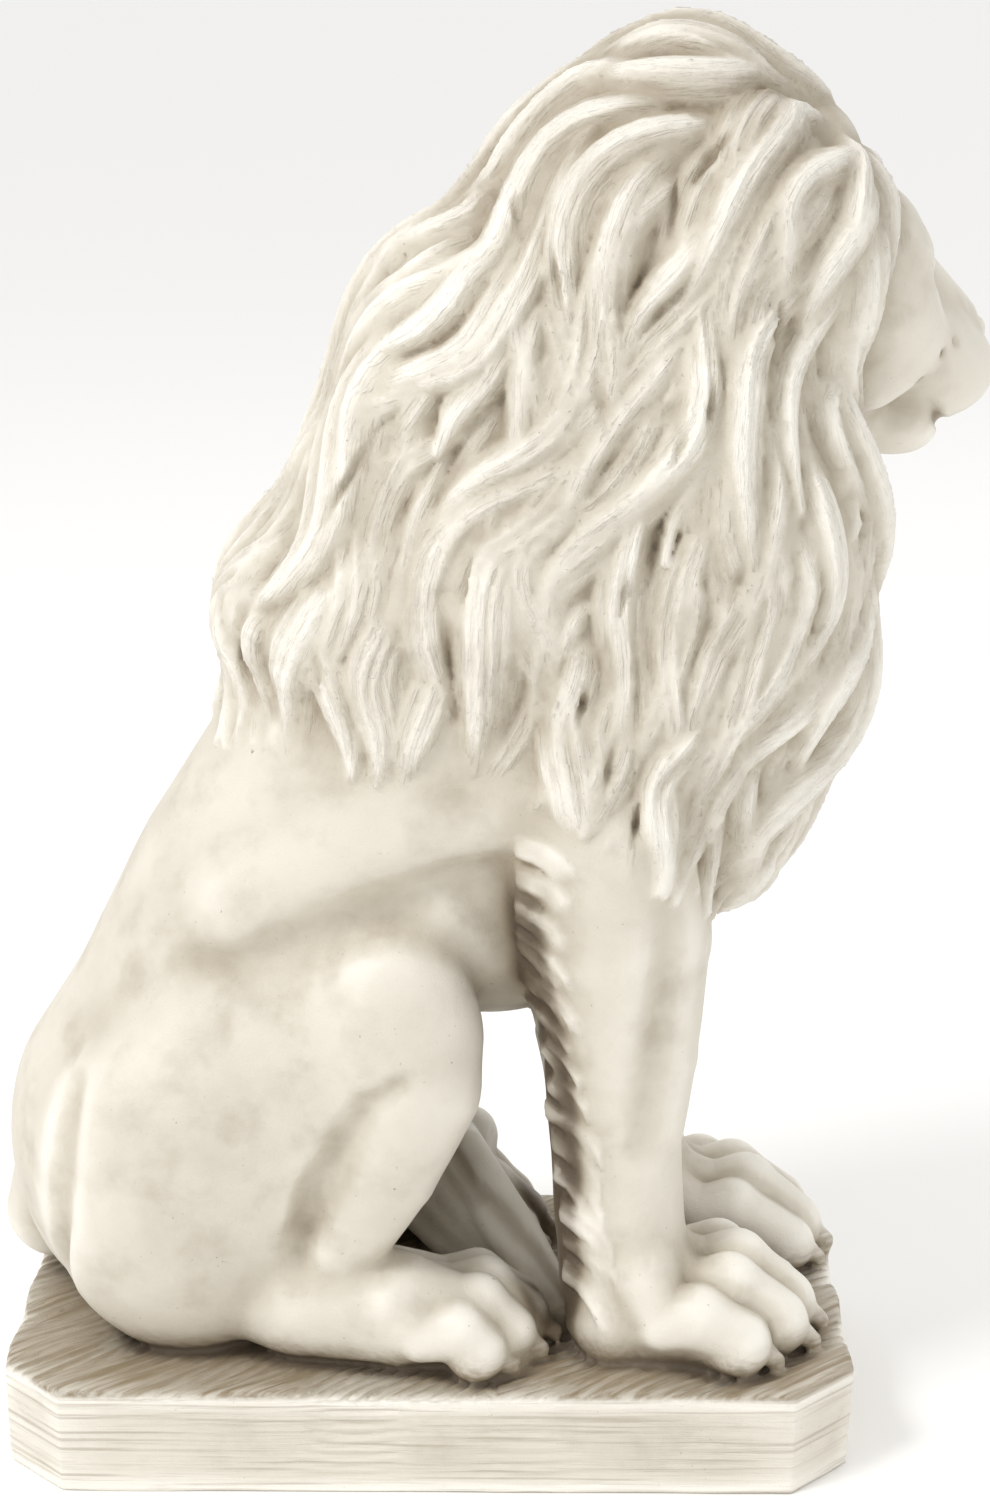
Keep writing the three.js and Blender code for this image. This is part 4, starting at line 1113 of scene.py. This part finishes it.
# %% Readings
finish = bpy.data.materials.new("ivory_resin_stone")
finish.use_nodes = True
tree = finish.node_tree
tree.nodes.clear()
read = {}
for name in ("hollow_fine", "hollow_lock", "hollow_deep", "hair", "wash_and_shade_left"):
    read[name] = add_node(tree, "ShaderNodeAttribute", {"attribute_name": name}).outputs["Fac"]
comb = add_node(tree, "ShaderNodeAttribute", {"attribute_name": "comb"}).outputs["Vector"]
place = add_node(tree, "ShaderNodeTexCoord").outputs["Object"]
read["height"] = add_node(tree, "ShaderNodeSeparateXYZ", Vector=place).outputs["Z"]
WAYS = {
    "level": (place, "POINT", (0, 0, 0), (0.02, 0.02, 1)),
    "slanted": (place, "TEXTURE", (0, 0, 0.7), (20, 1, 1)),
    "along": (comb, "POINT", (0, 0, 0), (1, 0.09, 3)),
}
ways = {"even": place}
for name, (vector, kind, turn, scale) in WAYS.items():
    ways[name] = add_node(
        tree, "ShaderNodeMapping", {"vector_type": kind}, Vector=vector, Rotation=turn, Scale=scale,
    ).outputs[0]
NOISES = {
    "patches": ("even", 0.070, 4), "clouds": ("even", 0.024, 4), "specks": ("even", 0.0024, 2),
    "streaks": ("level", 0.0024, 4), "brush_marks": ("slanted", 0.0033, 4),
    "strands": ("along", 0.0024, 3), "grain": ("even", 0.0011, 3), "dents": ("even", 0.022, 2),
}
for name, (way, size, detail) in NOISES.items():
    read[name] = add_node(
        tree, "ShaderNodeTexNoise", Vector=ways[way], Scale=1 / size, Detail=detail, Roughness=0.55,
    ).outputs["Fac"]
print(len(read), "readings")

# %% [markdown]
# The colour is laid in layers: first bare ivory rubbed clear on the ridges, then the wash in
# patches and hollows, dark brown in the deepest folds that is partly wash and partly painted
# shade, painted shade on the tail tuft, wash and painted shade in the fringes, painted shade
# where the figure meets the plinth, and dust on the plinth's top and in its grooves. How much
# of a layer shows is the product of a few readings, each with the range where it sets in.

# %% Layers
def how_much(readings):
    amount = 1.0
    for name, start, end, least, most in readings:
        part = add_node(
            tree, "ShaderNodeMapRange", {"interpolation_type": "SMOOTHSTEP"}, Value=read[name],
            From_Min=start, From_Max=end, To_Min=least, To_Max=most,
        )
        product = add_node(
            tree, "ShaderNodeMath", {"operation": "MULTIPLY"}, _0=part.outputs[0], _1=amount,
        )
        amount = product.outputs[0]
    return amount


LAYERS = [
    (IVORY, ("hollow_lock", 0.54, 0.34, 0, 1)),
    (WASH_AND_SHADE, ("patches", 0.35, 0.75, 0, 1), ("hollow_deep", 0.35, 0.62, 0.1, 0.5)),
    (WASH_AND_SHADE, ("clouds", 0.45, 0.8, 0, 0.38), ("hollow_deep", 0.3, 0.55, 0.2, 1)),
    (WASH_AND_SHADE, ("hollow_fine", 0.52, 0.72, 0, 0.75), ("clouds", 0.3, 0.7, 0.5, 1)),
    (WASH_AND_SHADE, ("hollow_lock", 0.51, 0.7, 0, 0.55), ("clouds", 0.3, 0.7, 0.5, 1)),
    (WASH_AND_SHADE, ("strands", 0.5, 0.75, 0, 0.32), ("hair", 0, 1, 0, 1), ("hollow_lock", 0.35, 0.55, 0.3, 1)),
    # Dark brown in the deepest folds: partly the darkest wash, partly painted shade.
    (DARK_BROWN_AND_SHADE, ("hollow_fine", 0.58, 0.76, 0, 1), ("hollow_deep", 0.35, 0.7, 0.3, 0.95)),
    # Painted shade on the tail tuft, wash plus painted shade in the fringes, and darker towards the top of
    # the crown.
    (WASH_AND_SHADE, ("wash_and_shade_left", 0, 1, 0, 1), ("hollow_lock", 0.36, 0.52, 0.35, 1)),
    (DARK_BROWN_AND_SHADE, ("wash_and_shade_left", 0.5, 1, 0, 1), ("hollow_lock", 0.35, 0.52, 0.12, 1)),
    (WASH_AND_SHADE, ("height", 0.048, 0.0525, 0, 1), ("height", 0.075, 0.054, 0, 1),
     ("brush_marks", 0.35, 0.65, 0.55, 1)),
    # Painted shade in the hollows where the figure meets the plinth.
    (DARK_BROWN_AND_SHADE, ("height", 0.1, 0.056, 0, 1), ("hollow_lock", 0.54, 0.7, 0, 0.8)),
    (IVORY, ("height", 0.0515, 0.0495, 0, 0.22)),
    (WASH_AND_SHADE, ("height", 0.0545, 0.0525, 0, 1), ("streaks", 0.5, 0.7, 0, 0.45)),
    (DARK_BROWN_AND_SHADE, ("specks", 0.7, 0.78, 0, 1), ("patches", 0.35, 0.7, 0, 0.6)),
]
colour = STONE
for tint, *readings in LAYERS:
    laid = add_node(
        tree, "ShaderNodeMix", {"data_type": "RGBA"}, _0=how_much(readings), _6=colour, _7=tint,
    )
    colour = laid.outputs[2]
print(len(LAYERS), "layers of colour")

# %% [markdown]
# Relief too fine for the mesh is left to bumps: soft dents from the clay, strands combed along
# the locks, scratches round the plinth and a powdery grain. Resin is a plain dielectric with an
# IOR of 1.5; waxed, it is fairly smooth, and rougher where the wash lies.

# %% Cast stone
BUMPS = [
    (0.0012, 0.3, ("dents", 0, 1, 0, 1)),
    (0.002, 0.6, ("strands", 0.2, 0.8, -0.5, 0.5), ("hair", 0, 1, 0, 1)),
    (0.0015, 0.6, ("streaks", 0, 1, 0, 1), ("height", 0.0545, 0.0525, 0, 1)),
    (0.0003, 0.5, ("grain", 0, 1, 0, 1)),
]
normal = add_node(tree, "ShaderNodeNewGeometry").outputs["Normal"]
for depth, strength, *readings in BUMPS:
    normal = add_node(
        tree, "ShaderNodeBump", Height=how_much(readings), Distance=depth, Strength=strength, Normal=normal,
    ).outputs[0]
shader = add_node(
    tree, "ShaderNodeBsdfPrincipled", Base_Color=colour, Normal=normal, IOR=1.5,
    Roughness=how_much([("hollow_fine", 0.4, 0.7, 0.46, 0.68)]),
)
add_node(tree, "ShaderNodeOutputMaterial", Surface=shader.outputs[0])
casting.data.materials.append(finish)
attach(casting, "root")
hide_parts(NODE)
print("finish laid on")

# %% [markdown]
# ## The studio
# A pale floor, a wide soft light high on the camera's left, weaker ones to the right and
# behind, and a bright surround, so that the shadows stay open. The camera stands where the
# photograph was taken from: on the lion's right, a little higher than its head, looking down.


# %% Floor and light
def pale_floor():
    """Matt white paint: it must bounce light and show no pattern."""
    paint = bpy.data.materials.new("white_floor_paint")
    paint.use_nodes = True
    shader = paint.node_tree.nodes["Principled BSDF"]
    shader.inputs["Base Color"].default_value = linear("#FAF9F7")
    shader.inputs["Roughness"].default_value = 0.8
    bpy.ops.mesh.primitive_plane_add(size=120, location=(0, 0, 0))
    floor = bpy.context.object
    floor.name = "floor"
    floor.data.materials.append(paint)
    return floor


floor = pale_floor()


def soft_light(name, place, aim, size, power):
    lamp = bpy.data.lights.new(name, "AREA")
    lamp.shape = "DISK"
    lamp.size = size
    lamp.energy = power
    holder = bpy.data.objects.new(name, lamp)
    holder.location = place
    holder.rotation_euler = (Vector(aim) - Vector(place)).to_track_quat("-Z", "Y").to_euler()
    bpy.context.collection.objects.link(holder)


soft_light("key_light", (-1.5, -1.2, 2.4), (0, 0, 0.35), 0.8, 34)
soft_light("fill_light", (2.4, -1.6, 1.2), (0, 0, 0.35), 1.8, 2)
soft_light("back_light", (0.8, 2.0, 2.2), (0, 0, 0.4), 1.6, 4)
world = bpy.data.worlds.new("surround")
world.use_nodes = True
world.node_tree.nodes["Background"].inputs["Color"].default_value = (1, 1, 1, 1)
world.node_tree.nodes["Background"].inputs["Strength"].default_value = 0.92
bpy.context.scene.world = world
bpy.context.scene.view_settings.view_transform = "Standard"
print("studio lit")

# %% Camera
lens = bpy.data.cameras.new("camera")
lens.lens = 72
lens.sensor_width = 36
camera = bpy.data.objects.new("camera", lens)
camera.location = (0.045, -1.393, 0.745)
camera.rotation_euler = (math.radians(90 - 16.27), 0, math.radians(0.55))
bpy.context.collection.objects.link(camera)
bpy.context.scene.camera = camera
print("camera placed")
